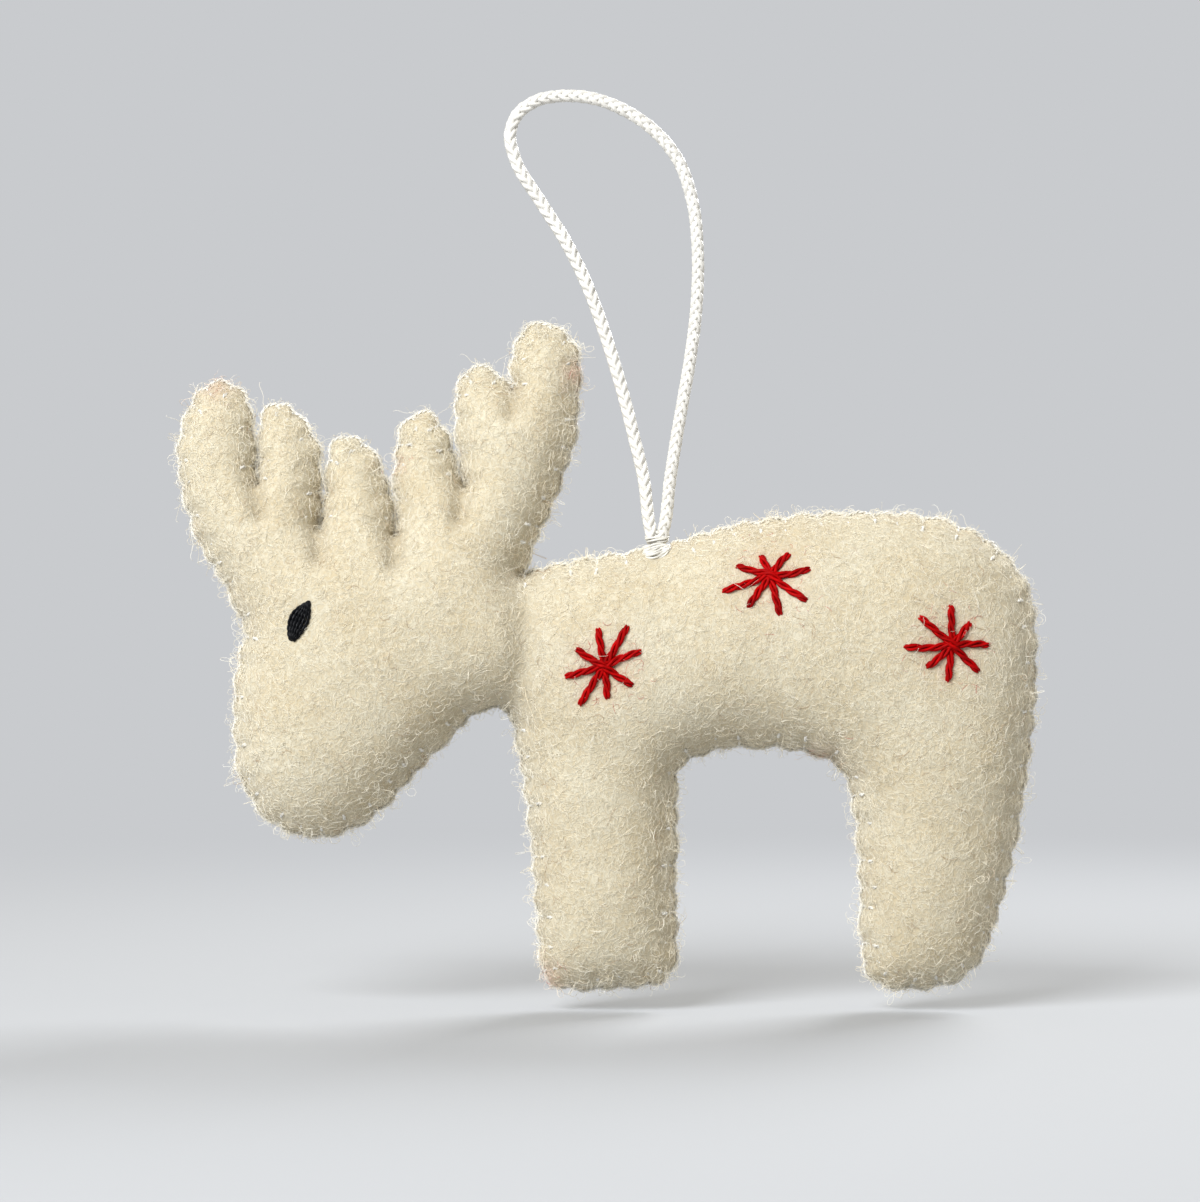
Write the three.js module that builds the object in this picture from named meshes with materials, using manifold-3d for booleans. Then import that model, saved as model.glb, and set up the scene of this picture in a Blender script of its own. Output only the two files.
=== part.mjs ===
// A stuffed felt elk that hangs by a loop of braided cord. Millimetres, +Z up.
// The origin is the point under the top of the loop where a hook or a twig carries it.
// The elk looks along -X, its front panel faces -Y, and the seam lies in the plane y = 0.
import * as THREE from 'three';
import { mergeVertices } from 'three/addons/utils/BufferGeometryUtils.js';
import Module from 'manifold-3d';

const wasm = await Module();
wasm.setup();

// Cloth, thread and cord
const FELT = 1.5;
const CLEARANCE = 0.3;
const SEAM_PINCH = 1.25;
const EDGE_THREAD = 0.6;
const EDGE_THREAD_SUNK = 0.4;
const FLOSS_DIAMETER = 0.9;
const CORD_DIAMETER = 1.6;
const CORD_LEG_GAP = 0.6;

// Lengths of the limbs, from the first row of stuffing to the last
const TRUNK_LENGTH = 54;
const HEAD_LENGTH = 25.7;
const HIND_LEG_LENGTH = 32.6;
const FRONT_LEG_LENGTH = 34.8;
const NECK_LENGTH = 20.8;
const RIGHT_PALM_LENGTH = 21.8;
const LEFT_PALM_LENGTH = 11.2;
const OUTER_TINE_LENGTH = 11.9;
const MIDDLE_TINE_LENGTH = 11.5;
const BROW_TINE_LENGTH = 13.9;

// Hanger
const LOOP_FROM_CHEST = 12.6;
const KNOT_RADIUS = 0.75;
const LASHING_THREAD = 0.4;
const LASHING_TURNS = 2.5;
const TAIL_LENGTH = 8;

// Embroidery
const EYE_LENGTH = 5.7;
const EYE_WIDTH = 2.4;
const EYE_HEIGHT = 0.6;
const EYE_LEAN = 24;

// The route of the cord under the hook, up the left leg and down the right one
const LOOP_ROUTE = [
  [10.0, -49.9],
  [8.8, -44.7],
  [7.5, -39.5],
  [6.0, -34.3],
  [4.3, -29.1],
  [2.3, -23.9],
  [-0.3, -18.7],
  [-3.6, -13.5],
  [-6.7, -8.3],
  [-7.4, -5.0],
  [-6.5, -2.5],
  [-4.2, -0.75],
  [-0.3, 0],
  [3.6, -0.4],
  [7.5, -1.9],
  [11.4, -4.6],
  [14.4, -8.3],
  [16.25, -13.5],
  [17.0, -20.0],
  [16.9, -26.5],
  [16.0, -34.3],
  [15.1, -39.5],
  [14.2, -44.7],
  [13.4, -49.9],
];
const LOOP_FOOT = [11.7, -55.3];

// Each limb starts at an offset from an end of the limb that carries it, on a heading from +X towards +Z.
// Left and right are the felt's two edges beside that line, front is its swell, at even steps.
const LIMBS = {
  trunk: {
    offset: [0, 0],
    length: TRUNK_LENGTH,
    heading: 0,
    left: [10.1, 12.0, 14.0, 16.0, 16.8, 16.5, 13.4],
    right: [8.8, 12.1, 13.5, 12.9, 14.6, 16.6, 17.7],
    front: [7.8, 9.2, 10.4, 10.8, 10.8, 10.4, 9.2],
    ends: [3.9, 7.0],
    sides: 12,
  },
  head: {
    from: 'neck',
    at: 'end',
    offset: [-6.2, 5.7],
    length: HEAD_LENGTH,
    heading: -111.5,
    left: [14.3, 16.0, 12.2, 8.1],
    right: [14.3, 17.4, 14.8, 10.4],
    front: [7.6, 9.4, 9.2, 7.4],
    ends: [6.8, 7.4],
    sides: 12,
  },
  hind_leg: {
    from: 'trunk',
    at: 'end',
    offset: [-4.6, -7.3],
    length: HIND_LEG_LENGTH,
    heading: -94,
    left: [11.8, 11.5, 10.5, 9.5, 7.5],
    right: [11.4, 11.4, 9.7, 8.45, 7.9],
    front: [9.2, 8.9, 8.1, 7.2, 6.2],
    ends: [5, 5.2],
    sides: 12,
  },
  front_leg: {
    from: 'trunk',
    at: 'start',
    offset: [5.5, -6],
    length: FRONT_LEG_LENGTH,
    heading: -88.8,
    left: [11.4, 9.8, 9.2, 9.1, 8.85],
    right: [11.05, 10.8, 9.6, 9.0, 8.85],
    front: [8.8, 8.5, 7.8, 7.1, 6.4],
    ends: [5, 4.2],
    sides: 12,
  },
  neck: {
    from: 'trunk',
    at: 'start',
    offset: [5.2, 0.5],
    length: NECK_LENGTH,
    heading: 180,
    left: [10.4, 8.6, 12.0],
    right: [10.4, 8.8, 12.0],
    front: [7.8, 7.0, 8.2],
    ends: [3, 3],
    sides: 12,
  },
  right_palm: {
    from: 'head',
    at: 'start',
    offset: [6.8, 0.8],
    length: RIGHT_PALM_LENGTH,
    heading: 63.3,
    left: [7.8, 4.2, 5.2],
    right: [9.0, 7.5, 6.8],
    front: [7.0, 6.2, 5.0],
    ends: [4, 3.4],
    sides: 8,
  },
  left_palm: {
    from: 'head',
    at: 'start',
    offset: [-12, 0.8],
    length: LEFT_PALM_LENGTH,
    heading: 119.3,
    left: [8.2, 8.2, 8.0],
    right: [7.1, 5.9, 5.9],
    front: [6.8, 6.0, 5.0],
    ends: [4, 2.6],
    sides: 8,
  },
  left_outer_tine: {
    from: 'left_palm',
    at: 'end',
    offset: [-3.9, 1.9],
    length: OUTER_TINE_LENGTH,
    heading: 96.5,
    left: [5.5, 5.8, 3.7],
    right: [4.7, 3.7, 3.9],
    front: [4.7, 4.4, 3.6],
    ends: [3, 3.7],
    sides: 8,
  },
  left_middle_tine: {
    from: 'left_palm',
    at: 'end',
    offset: [3.7, -0.7],
    length: MIDDLE_TINE_LENGTH,
    heading: 91,
    left: [4.6, 3.4, 3.1],
    right: [4.4, 4.7, 3.2],
    front: [4.9, 4.4, 3.5],
    ends: [3, 3.5],
    sides: 8,
  },
  left_brow_tine: {
    from: 'head',
    at: 'start',
    offset: [-4.3, 4.1],
    length: BROW_TINE_LENGTH,
    heading: 93,
    left: [5.0, 4.2, 3.3],
    right: [5.2, 4.7, 3.1],
    front: [5.6, 4.7, 3.5],
    ends: [3, 3.0],
    sides: 8,
  },
  right_brow_tine: {
    from: 'right_palm',
    at: 'start',
    offset: [-0.9, 5.9],
    length: BROW_TINE_LENGTH,
    heading: 95.7,
    left: [5.0, 4.6, 3.0],
    right: [5.2, 4.0, 3.0],
    front: [5.6, 4.7, 3.5],
    ends: [3, 3.3],
    sides: 8,
  },
  right_middle_tine: {
    from: 'right_palm',
    at: 'end',
    offset: [0.2, -4.6],
    length: MIDDLE_TINE_LENGTH,
    heading: 115.9,
    left: [5.6, 5.4, 3.8],
    right: [4.5, 3.9, 3.2],
    front: [4.8, 4.5, 3.6],
    ends: [3, 3.6],
    sides: 8,
  },
  right_outer_tine: {
    from: 'right_palm',
    at: 'end',
    offset: [1.3, -1.3],
    length: OUTER_TINE_LENGTH,
    heading: 81.5,
    left: [5.2, 3.9, 4.2],
    right: [5.3, 5.1, 4.3],
    front: [5.0, 4.6, 3.9],
    ends: [3, 4.2],
    sides: 8,
  },
};

// Where each embroidered star sits, and the tips of its stitches about its middle
const STARS = {
  chest_star: {
    from: 'trunk',
    at: 'start',
    offset: [5.7, -2.7],
    tips: [[-0.8, 4.9], [3.1, 5.3], [4.9, 2], [3.8, -2.5], [0.4, -4.3], [-3.3, -5.1], [-5.1, -1.4], [-3.7, 2.3]],
  },
  back_star: {
    from: 'trunk',
    at: 'start',
    offset: [27, 8.7],
    tips: [[-1.3, 2.9], [2.6, 3], [5.2, 1.1], [4.6, -3.1], [1.1, -5.1], [-3, -4], [-6.3, -2], [-4.6, 1.4]],
  },
  rump_star: {
    from: 'trunk',
    at: 'end',
    offset: [-4, 0],
    tips: [[0, 5.2], [2.6, 2.9], [5.1, 0], [3.6, -3.5], [-0.5, -4.9], [-3.4, -2.9], [-6.2, -0.3], [-4.3, 3.7]],
  },
};
const EYE = { from: 'head', at: 'start', offset: [-11.5, -3.3] };

// The place of a limb or a stitched figure: its offset from an end of the limb that carries it
function placeOf({ from, at, offset }) {
  const [dx, dz] = offset;
  if (!from) return [dx, dz];
  const limb = LIMBS[from];
  const angle = THREE.MathUtils.degToRad(limb.heading);
  const reach = at === 'end' ? limb.length : 0;
  const [x, z] = placeOf(limb);
  return [x + (reach * Math.cos(angle) + dx), z + (reach * Math.sin(angle) + dz)];
}

function solidOf(geometry) {
  const bare = new THREE.BufferGeometry();
  const flat = geometry.index ? geometry.toNonIndexed() : geometry;
  bare.setAttribute('position', flat.getAttribute('position'));
  const welded = mergeVertices(bare, 1e-4);
  const triVerts = new Uint32Array(welded.index.array);
  const vertProperties = welded.attributes.position.array;
  return new wasm.Manifold(new wasm.Mesh({ numProp: 3, vertProperties, triVerts }));
}

function geometryOf(solid) {
  const mesh = solid.getMesh();
  const geometry = new THREE.BufferGeometry();
  geometry.setAttribute('position', new THREE.BufferAttribute(mesh.vertProperties, 3));
  geometry.setIndex(new THREE.BufferAttribute(mesh.triVerts, 1));
  geometry.computeVertexNormals();
  return geometry;
}

const joined = (solids) => solids.reduce((all, one) => all.add(one));

// The largest piece of a cut solid
function mainBody(solid) {
  const bodies = solid.decompose();
  return bodies.reduce((best, one) => (one.volume() > best.volume() ? one : best));
}

function block(x0, x1, y0, y1, z0, z1) {
  const box = new THREE.BoxGeometry(x1 - x0, y1 - y0, z1 - z0);
  box.translate((x0 + x1) / 2, (y0 + y1) / 2, (z0 + z1) / 2);
  return solidOf(box);
}

function cordGeometry(points, diameter, sides, steps) {
  const outline = new THREE.Shape();
  for (let k = 0; k < sides; k += 1) {
    const angle = (2 * Math.PI * k) / sides;
    const x = (diameter / 2) * Math.cos(angle);
    const y = (diameter / 2) * Math.sin(angle);
    if (k === 0) outline.moveTo(x, y);
    else outline.lineTo(x, y);
  }
  outline.closePath();
  const extrudePath = new THREE.CatmullRomCurve3(points);
  return new THREE.ExtrudeGeometry(outline, { steps, extrudePath, bevelEnabled: false });
}

// The rows of a limb along its middle line, with rounded ends, and the point that closes each end.
// The inset draws the whole skin inwards, or outwards where it is negative.
function limbRows(name, inset) {
  const limb = LIMBS[name];
  const angle = THREE.MathUtils.degToRad(limb.heading);
  const along = new THREE.Vector3(Math.cos(angle), 0, Math.sin(angle));
  const leftward = new THREE.Vector3(-Math.sin(angle), 0, Math.cos(angle));
  const [x, z] = placeOf(limb);
  const start = new THREE.Vector3(x, 0, z);
  const last = limb.left.length - 1;
  const middles = [];
  const girths = [];
  for (let k = 0; k <= last; k += 1) {
    const middle = start.clone().addScaledVector(along, (limb.length * k) / last);
    middles.push(middle.addScaledVector(leftward, (limb.left[k] - limb.right[k]) / 2));
    girths.push(new THREE.Vector3((limb.left[k] + limb.right[k]) / 2 - inset, limb.front[k] - inset, 0));
  }
  const spine = new THREE.CatmullRomCurve3(middles);
  const girth = new THREE.CatmullRomCurve3(girths);
  const rows = [];
  const addRow = (t, reach, shrink) => {
    const tangent = spine.getTangent(t);
    const normal = new THREE.Vector3(-tangent.z, 0, tangent.x);
    const middle = spine.getPoint(t).addScaledVector(tangent, reach);
    const size = girth.getPoint(t).multiplyScalar(shrink);
    rows.push({ middle, normal, width: size.x, front: size.y });
  };
  const endAngles = [65, 33];
  const rounded = (degrees) => {
    const turn = THREE.MathUtils.degToRad(degrees);
    return [Math.sin(turn) ** 0.9, Math.cos(turn) ** 0.9];
  };
  const reaches = limb.ends.map((end) => end - inset);
  for (const degrees of endAngles) {
    const [reach, shrink] = rounded(degrees);
    addRow(0, -reach * reaches[0], shrink);
  }
  const rowSteps = limb.sides > 8 ? 2 * last : last;
  for (let k = 0; k <= rowSteps; k += 1) addRow(k / rowSteps, 0, 1);
  for (const degrees of [...endAngles].reverse()) {
    const [reach, shrink] = rounded(degrees);
    addRow(1, reach * reaches[1], shrink);
  }
  const poles = [
    spine.getPoint(0).addScaledVector(spine.getTangent(0), -reaches[0]),
    spine.getPoint(1).addScaledVector(spine.getTangent(1), reaches[1]),
  ];
  return { rows, poles };
}

// A stuffed limb: each row is a lens, pinched where the two panels meet
function limbSolid(name, inset) {
  const { rows, poles } = limbRows(name, inset);
  const sides = LIMBS[name].sides;
  const vertices = [];
  for (const row of rows) {
    for (let s = 0; s < sides; s += 1) {
      const turn = (2 * Math.PI * s) / sides;
      const swell = Math.sign(Math.sin(turn)) * Math.abs(Math.sin(turn)) ** SEAM_PINCH;
      const point = row.middle.clone().addScaledVector(row.normal, row.width * Math.cos(turn));
      point.y -= row.front * swell;
      vertices.push(point);
    }
  }
  const faces = [];
  const at = (row, s) => row * sides + (s % sides);
  for (let row = 0; row + 1 < rows.length; row += 1) {
    for (let s = 0; s < sides; s += 1) {
      faces.push(at(row, s), at(row, s + 1), at(row + 1, s));
      faces.push(at(row, s + 1), at(row + 1, s + 1), at(row + 1, s));
    }
  }
  const first = vertices.length;
  vertices.push(...poles);
  for (let s = 0; s < sides; s += 1) {
    faces.push(first, at(0, s + 1), at(0, s));
    faces.push(first + 1, at(rows.length - 1, s), at(rows.length - 1, s + 1));
  }
  const geometry = new THREE.BufferGeometry().setFromPoints(vertices);
  geometry.setIndex(faces);
  return solidOf(geometry);
}

// The same limb's outline as a flat plate across the seam
function flatLimb(name, inset, half) {
  const { rows, poles } = limbRows(name, inset);
  const edge = (row, side) => row.middle.clone().addScaledVector(row.normal, side * row.width);
  const lefts = rows.map((row) => edge(row, 1));
  const rights = rows.map((row) => edge(row, -1)).reverse();
  const points = [poles[0], ...lefts, poles[1], ...rights];
  const outline = new THREE.Shape(points.map((point) => new THREE.Vector2(point.x, point.z)));
  const plate = new THREE.ExtrudeGeometry(outline, { depth: 2 * half, bevelEnabled: false });
  return solidOf(plate.translate(0, 0, -half).rotateX(Math.PI / 2));
}

const limbNames = Object.keys(LIMBS);
const figure = (inset) => joined(limbNames.map((name) => limbSolid(name, inset)));
const outside = figure(0);
const clearOfFelt = figure(-CLEARANCE);
const cavity = figure(FELT);

const bounds = outside.boundingBox();
const far = 2 * Math.max(...bounds.max.map(Math.abs), ...bounds.min.map(Math.abs));
const slab = (y0, y1) => block(-far, far, y0, y1, -far, far);

// The height of the back's seam under the loop, and the felt's front face at a place on it
const skin = new THREE.Mesh(geometryOf(outside), new THREE.MeshStandardMaterial({ side: THREE.DoubleSide }));
function strike(from, direction) {
  return new THREE.Raycaster(from, direction).intersectObject(skin)[0];
}
const above = new THREE.Vector3(LOOP_FROM_CHEST, -1e-3, far);
const seamTop = strike(above, new THREE.Vector3(0, 0, -1)).point.z;

// The lashed knot between the loop's legs and the seam, about which the elk swings
const lashingRadius = KNOT_RADIUS + CLEARANCE + LASHING_THREAD;
const legOffset = (CORD_DIAMETER + CORD_LEG_GAP) / 2;
const pivotDrop = lashingRadius + CLEARANCE;
const cordTop = CORD_DIAMETER / 2;
const pivot = new THREE.Vector3(LOOP_FOOT[0], 0, LOOP_FOOT[1] + cordTop - pivotDrop);

const root = new THREE.Group();
const elk = new THREE.Group();
elk.position.set(pivot.x - LOOP_FROM_CHEST, 0, pivot.z - pivotDrop - seamTop);
root.add(elk);

function addPiece(group, name, geometry, color, roughness = 0.9) {
  const material = new THREE.MeshStandardMaterial({ color, roughness, metalness: 0 });
  const mesh = new THREE.Mesh(geometry, material);
  mesh.name = name;
  group.add(mesh);
}

// Cord tails caught in the seam under the knot
function tail(side) {
  const rod = new THREE.CylinderGeometry(CORD_DIAMETER / 2, CORD_DIAMETER / 2, TAIL_LENGTH, 8);
  rod.rotateX(Math.PI / 2);
  return rod.translate(LOOP_FROM_CHEST + side * legOffset, 0, seamTop - TAIL_LENGTH / 2);
}
const slotReach = legOffset + CORD_DIAMETER / 2 + CLEARANCE;
const slotHalf = CORD_DIAMETER / 2 + CLEARANCE;
const tailRoom = block(
  LOOP_FROM_CHEST - slotReach,
  LOOP_FROM_CHEST + slotReach,
  -slotHalf,
  slotHalf,
  seamTop - TAIL_LENGTH - CLEARANCE,
  seamTop + pivotDrop,
);
const knotRoom = new THREE.SphereGeometry(pivotDrop, 16, 10);
knotRoom.translate(LOOP_FROM_CHEST, 0, seamTop + pivotDrop);
const loopRoom = tailRoom.add(solidOf(knotRoom));

// Felt panels, with the edge thread between their rims
const seamHalf = EDGE_THREAD / 2 + CLEARANCE;
const felt = outside.subtract(cavity).subtract(loopRoom);
const frontFelt = mainBody(felt.intersect(slab(-far, -seamHalf)));
const backFelt = mainBody(felt.intersect(slab(seamHalf, far)));
addPiece(elk, 'front_felt_panel', geometryOf(frontFelt), 0xe6d9bd);
addPiece(elk, 'back_felt_panel', geometryOf(backFelt), 0xe0d3b6);

const threadReach = EDGE_THREAD - EDGE_THREAD_SUNK;
const flatFigure = (inset) => joined(limbNames.map((name) => flatLimb(name, inset, EDGE_THREAD / 2)));
const edgeThread = flatFigure(-threadReach).subtract(flatFigure(EDGE_THREAD_SUNK)).subtract(loopRoom);
addPiece(elk, 'edge_stitching', geometryOf(mainBody(edgeThread)), 0xf6f3ea, 0.6);

// Stuffing, each limb pushed against the ones that were filled before it
const filled = [];
for (const name of limbNames) {
  const wad = limbSolid(name, FELT + CLEARANCE);
  const room = filled.reduce((left, one) => left.subtract(one), wad.subtract(tailRoom));
  filled.push(limbSolid(name, FELT));
  addPiece(elk, `${name}_stuffing`, geometryOf(mainBody(room)), 0xf4f1ea, 1);
}

// Stars of red floss, four long stitches that cross, and a satin-stitched eye, on both faces
function onFelt(x, z, lift) {
  const hit = strike(new THREE.Vector3(x, -far, z), new THREE.Vector3(0, 1, 0));
  return hit.point.clone().addScaledVector(hit.normal, lift);
}

function starSolid(star) {
  const [cx, cz] = placeOf(star);
  const lift = FLOSS_DIAMETER / 2 + CLEARANCE;
  const stitches = star.tips.slice(0, 4).map((tip, k) => {
    const opposite = star.tips[k + 4];
    const places = [tip, [tip[0] / 2, tip[1] / 2], [0, 0], [opposite[0] / 2, opposite[1] / 2], opposite];
    const points = places.map(([dx, dz]) => onFelt(cx + dx, cz + dz, lift));
    return solidOf(cordGeometry(points, FLOSS_DIAMETER, 5, 4));
  });
  return mainBody(joined(stitches).subtract(clearOfFelt));
}

function eyeSolid() {
  const [x, z] = placeOf(EYE);
  const pad = new THREE.SphereGeometry(1, 14, 10);
  pad.scale(EYE_WIDTH / 2, EYE_HEIGHT + CLEARANCE, EYE_LENGTH / 2);
  pad.rotateY(THREE.MathUtils.degToRad(EYE_LEAN));
  pad.translate(x, onFelt(x, z, 0).y, z);
  return mainBody(solidOf(pad).subtract(clearOfFelt));
}

const faces = [
  ['front', 1],
  ['back', -1],
];
for (const [face, side] of faces) {
  for (const [name, star] of Object.entries(STARS)) {
    const stitched = starSolid(star).scale([1, side, 1]);
    addPiece(elk, `${face}_${name}`, geometryOf(stitched), 0xb01218, 0.55);
  }
  addPiece(elk, `${face}_eye`, geometryOf(eyeSolid().scale([1, side, 1])), 0x16181c, 0.4);
}

// Hanger: the loop, the thread lashed round its knot, the knot, and the two tails
const route = LOOP_ROUTE.map(([x, z]) => new THREE.Vector3(x, 0, z + cordTop));
const foot = (side) => new THREE.Vector3(LOOP_FOOT[0] + side * legOffset, 0, LOOP_FOOT[1] + cordTop);
const loop = cordGeometry([foot(-1), ...route, foot(1)], CORD_DIAMETER, 8, 64);
addPiece(root, 'hanging_loop', geometryOf(solidOf(loop)), 0xf3f1ec, 0.7);

const turns = [];
const windingRadius = KNOT_RADIUS + CLEARANCE + LASHING_THREAD / 2;
const turnSteps = 10;
for (let k = 0; k <= turnSteps * LASHING_TURNS; k += 1) {
  const share = k / (turnSteps * LASHING_TURNS);
  const rise = THREE.MathUtils.degToRad(-62 + 124 * share);
  const turn = (2 * Math.PI * k) / turnSteps;
  const reach = windingRadius * Math.cos(rise);
  turns.push(new THREE.Vector3(reach * Math.cos(turn), reach * Math.sin(turn), windingRadius * Math.sin(rise)));
}
const wound = new THREE.CatmullRomCurve3(turns).getSpacedPoints(100);
let leastGap = Infinity;
wound.forEach((point, i) => {
  for (const other of wound.slice(i + Math.round(50 / LASHING_TURNS))) {
    leastGap = Math.min(leastGap, point.distanceTo(other) - LASHING_THREAD);
  }
});
console.log(`least gap of the lashing to itself ${leastGap.toFixed(2)} mm`);
const lashing = cordGeometry(turns, LASHING_THREAD, 6, 48).translate(pivot.x, 0, pivot.z);
addPiece(root, 'cord_lashing', geometryOf(solidOf(lashing)), 0xf6f3ea, 0.6);

const knot = new THREE.SphereGeometry(KNOT_RADIUS, 12, 8).translate(pivot.x, 0, pivot.z);
addPiece(root, 'cord_knot', geometryOf(solidOf(knot)), 0xf3f1ec, 0.7);
addPiece(elk, 'left_cord_tail', tail(-1), 0xf3f1ec, 0.7);
addPiece(elk, 'right_cord_tail', tail(1), 0xf3f1ec, 0.7);

export default root;
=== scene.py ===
"""The looks of a stuffed felt elk that hangs by a loop of braided cord. Metres, +Z up, front face -Y."""

import logging
import math
from collections.abc import Sequence
from dataclasses import dataclass, replace
from enum import Enum
from functools import cached_property
from typing import ClassVar

import bmesh
import bpy
import numpy as np
from mathutils import Matrix, Vector, noise
from mathutils.bvhtree import BVHTree
from mathutils.geometry import delaunay_2d_cdt
from mathutils.kdtree import KDTree

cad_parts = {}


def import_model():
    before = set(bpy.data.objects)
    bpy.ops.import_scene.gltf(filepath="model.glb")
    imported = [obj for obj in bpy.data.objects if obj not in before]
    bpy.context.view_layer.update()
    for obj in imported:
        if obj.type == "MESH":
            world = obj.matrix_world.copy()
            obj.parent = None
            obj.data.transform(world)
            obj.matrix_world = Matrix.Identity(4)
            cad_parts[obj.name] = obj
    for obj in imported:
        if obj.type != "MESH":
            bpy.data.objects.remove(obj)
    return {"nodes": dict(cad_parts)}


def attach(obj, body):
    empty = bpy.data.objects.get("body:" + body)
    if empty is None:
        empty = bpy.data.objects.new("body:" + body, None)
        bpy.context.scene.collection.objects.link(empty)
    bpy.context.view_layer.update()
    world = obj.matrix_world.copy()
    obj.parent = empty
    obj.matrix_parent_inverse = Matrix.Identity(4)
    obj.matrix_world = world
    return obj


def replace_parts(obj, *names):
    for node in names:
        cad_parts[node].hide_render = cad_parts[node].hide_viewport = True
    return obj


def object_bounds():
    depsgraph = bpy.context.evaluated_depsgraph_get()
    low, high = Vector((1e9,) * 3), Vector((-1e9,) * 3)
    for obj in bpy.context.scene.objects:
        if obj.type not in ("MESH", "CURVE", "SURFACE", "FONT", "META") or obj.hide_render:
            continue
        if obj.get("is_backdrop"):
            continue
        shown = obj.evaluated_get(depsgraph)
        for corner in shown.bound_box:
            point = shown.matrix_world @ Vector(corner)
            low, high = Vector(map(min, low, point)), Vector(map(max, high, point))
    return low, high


log = logging.getLogger("felt_elk")

MM = 0.001
BAKE_MAP = "OFBake"
NO_LENGTH = 1e-12
WELD = 1e-6
FINER = 8
LEAST_STEPS = 4
SWELL_RATE = 4
STAR_SEED = 20

Colour = tuple[float, float, float, float]
Place = tuple[float, float]
Line = tuple[Place, ...]

# The cut of the felt in millimetres, x and z: smooth runs from one notch to the next, clockwise
BACK_LEGS_AND_BELLY: Line = (
    (-6.1, -61.4), (-0.9, -60.3), (11.7, -58.0), (22.6, -55.1), (36.8, -53.7), (47.2, -54.3),
    (55.1, -57.5), (59.3, -62.4), (60.7, -72.5), (59.7, -85.5), (56.7, -101.8), (55.3, -106.8),
    (53.6, -111.2), (51.4, -113.5), (48.2, -114.7), (43.3, -115.0), (40.3, -114.4), (39.0, -112.9),
    (38.5, -109.5), (38.3, -103.7), (37.4, -92.0), (35.5, -86.3), (30.3, -84.1), (24.4, -83.6),
    (17.9, -84.4), (14.8, -86.1), (14.1, -93.3), (13.9, -101.0), (14.0, -108.9), (13.7, -112.2),
    (12.5, -114.1), (9.0, -114.7), (5.0, -115.1), (1.0, -115.1), (-1.5, -114.7), (-2.8, -113.3),
    (-3.3, -111.0), (-3.7, -105.0), (-4.2, -98.5), (-5.7, -86.8), (-7.2, -79.2),
)
THROAT_MUZZLE_AND_OUTER_TINE: Line = (
    (-7.2, -79.2), (-10.0, -78.5), (-15.2, -82.3), (-20.7, -88.0), (-26.3, -93.3), (-32.1, -95.4),
    (-38.0, -93.7), (-41.6, -89.4), (-43.0, -82.3), (-42.4, -72.5), (-41.7, -69.4), (-43.4, -64.5),
    (-47.5, -57.5), (-49.8, -50.4), (-50.4, -45.9), (-49.4, -41.1), (-47.3, -37.4), (-44.9, -36.5),
    (-42.0, -38.0), (-41.1, -40.8), (-40.7, -44.6), (-40.3, -49.9),
)
LEFT_MIDDLE_TINE: Line = (
    (-40.3, -49.9), (-39.9, -45.2), (-39.5, -41.3), (-38.4, -39.5), (-36.5, -39.5), (-34.3, -41.6),
    (-32.5, -44.6), (-32.1, -49.1), (-32.1, -55.8),
)
LEFT_BROW_TINE: Line = (
    (-32.1, -55.8), (-31.3, -50.4), (-30.9, -46.5), (-29.6, -43.9), (-27.9, -43.6), (-25.6, -45.4),
    (-23.7, -48.9), (-22.6, -52.6), (-22.2, -56.6),
)
RIGHT_BROW_TINE: Line = (
    (-22.2, -56.6), (-22.2, -50.4), (-21.7, -43.9), (-20.2, -41.0), (-18.1, -40.6), (-16.1, -42.6),
    (-14.4, -46.8), (-13.4, -50.2),
)
RIGHT_MIDDLE_TINE: Line = (
    (-13.4, -50.2), (-14.0, -44.6), (-14.3, -39.4), (-13.4, -35.6), (-11.3, -34.7), (-8.7, -35.8),
    (-7.0, -37.6),
)
RIGHT_OUTER_TINE: Line = (
    (-7.0, -37.6), (-7.0, -33.3), (-5.6, -30.0), (-3.1, -29.0), (-0.5, -29.9), (1.3, -32.5),
    (1.4, -37.4), (0.8, -43.9), (-1.4, -50.4), (-3.9, -56.3), (-6.1, -61.4),
)
OUTLINE_RUNS: tuple[Line, ...] = (
    BACK_LEGS_AND_BELLY, THROAT_MUZZLE_AND_OUTER_TINE, LEFT_MIDDLE_TINE, LEFT_BROW_TINE,
    RIGHT_BROW_TINE, RIGHT_MIDDLE_TINE, RIGHT_OUTER_TINE,
)

# The direction from one face of the elk to the other
ACROSS_SEAM = (0.0, 1.0, 0.0)

# Where the cord comes out of the seam
CORD_FOOT: Place = (11.7 * MM, -58.0 * MM)

# The cord's middle line in millimetres, x and z, up the left leg and down the right one
LOOP_ROUTE: Line = (
    (11.05, -56.95), (10.98, -56.3), (10.65, -54.5), (10.0, -49.1), (8.8, -43.9), (7.5, -38.7),
    (6.0, -33.5), (4.3, -28.3), (2.3, -23.1), (-0.3, -17.9), (-3.6, -12.7), (-6.7, -7.5),
    (-7.4, -4.2), (-6.5, -1.7), (-4.2, 0.05), (-0.3, 0.8), (3.6, 0.4), (7.5, -1.1), (11.4, -3.8),
    (14.4, -7.5), (16.25, -12.7), (17.0, -19.2), (16.9, -25.7), (16.0, -33.5), (15.1, -38.7),
    (14.2, -43.9), (13.4, -49.1), (12.8, -54.5), (12.42, -56.3), (12.35, -56.95),
)


class Face(Enum):
    """A face of the elk, with the sign of Y on its side."""

    FRONT = -1
    BACK = 1


class FibreKind(Enum):
    """How a fibre lies on the felt."""

    LYING = "lying"
    LOOP = "loop"
    STRAY = "stray"
    LONG = "long"


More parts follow.
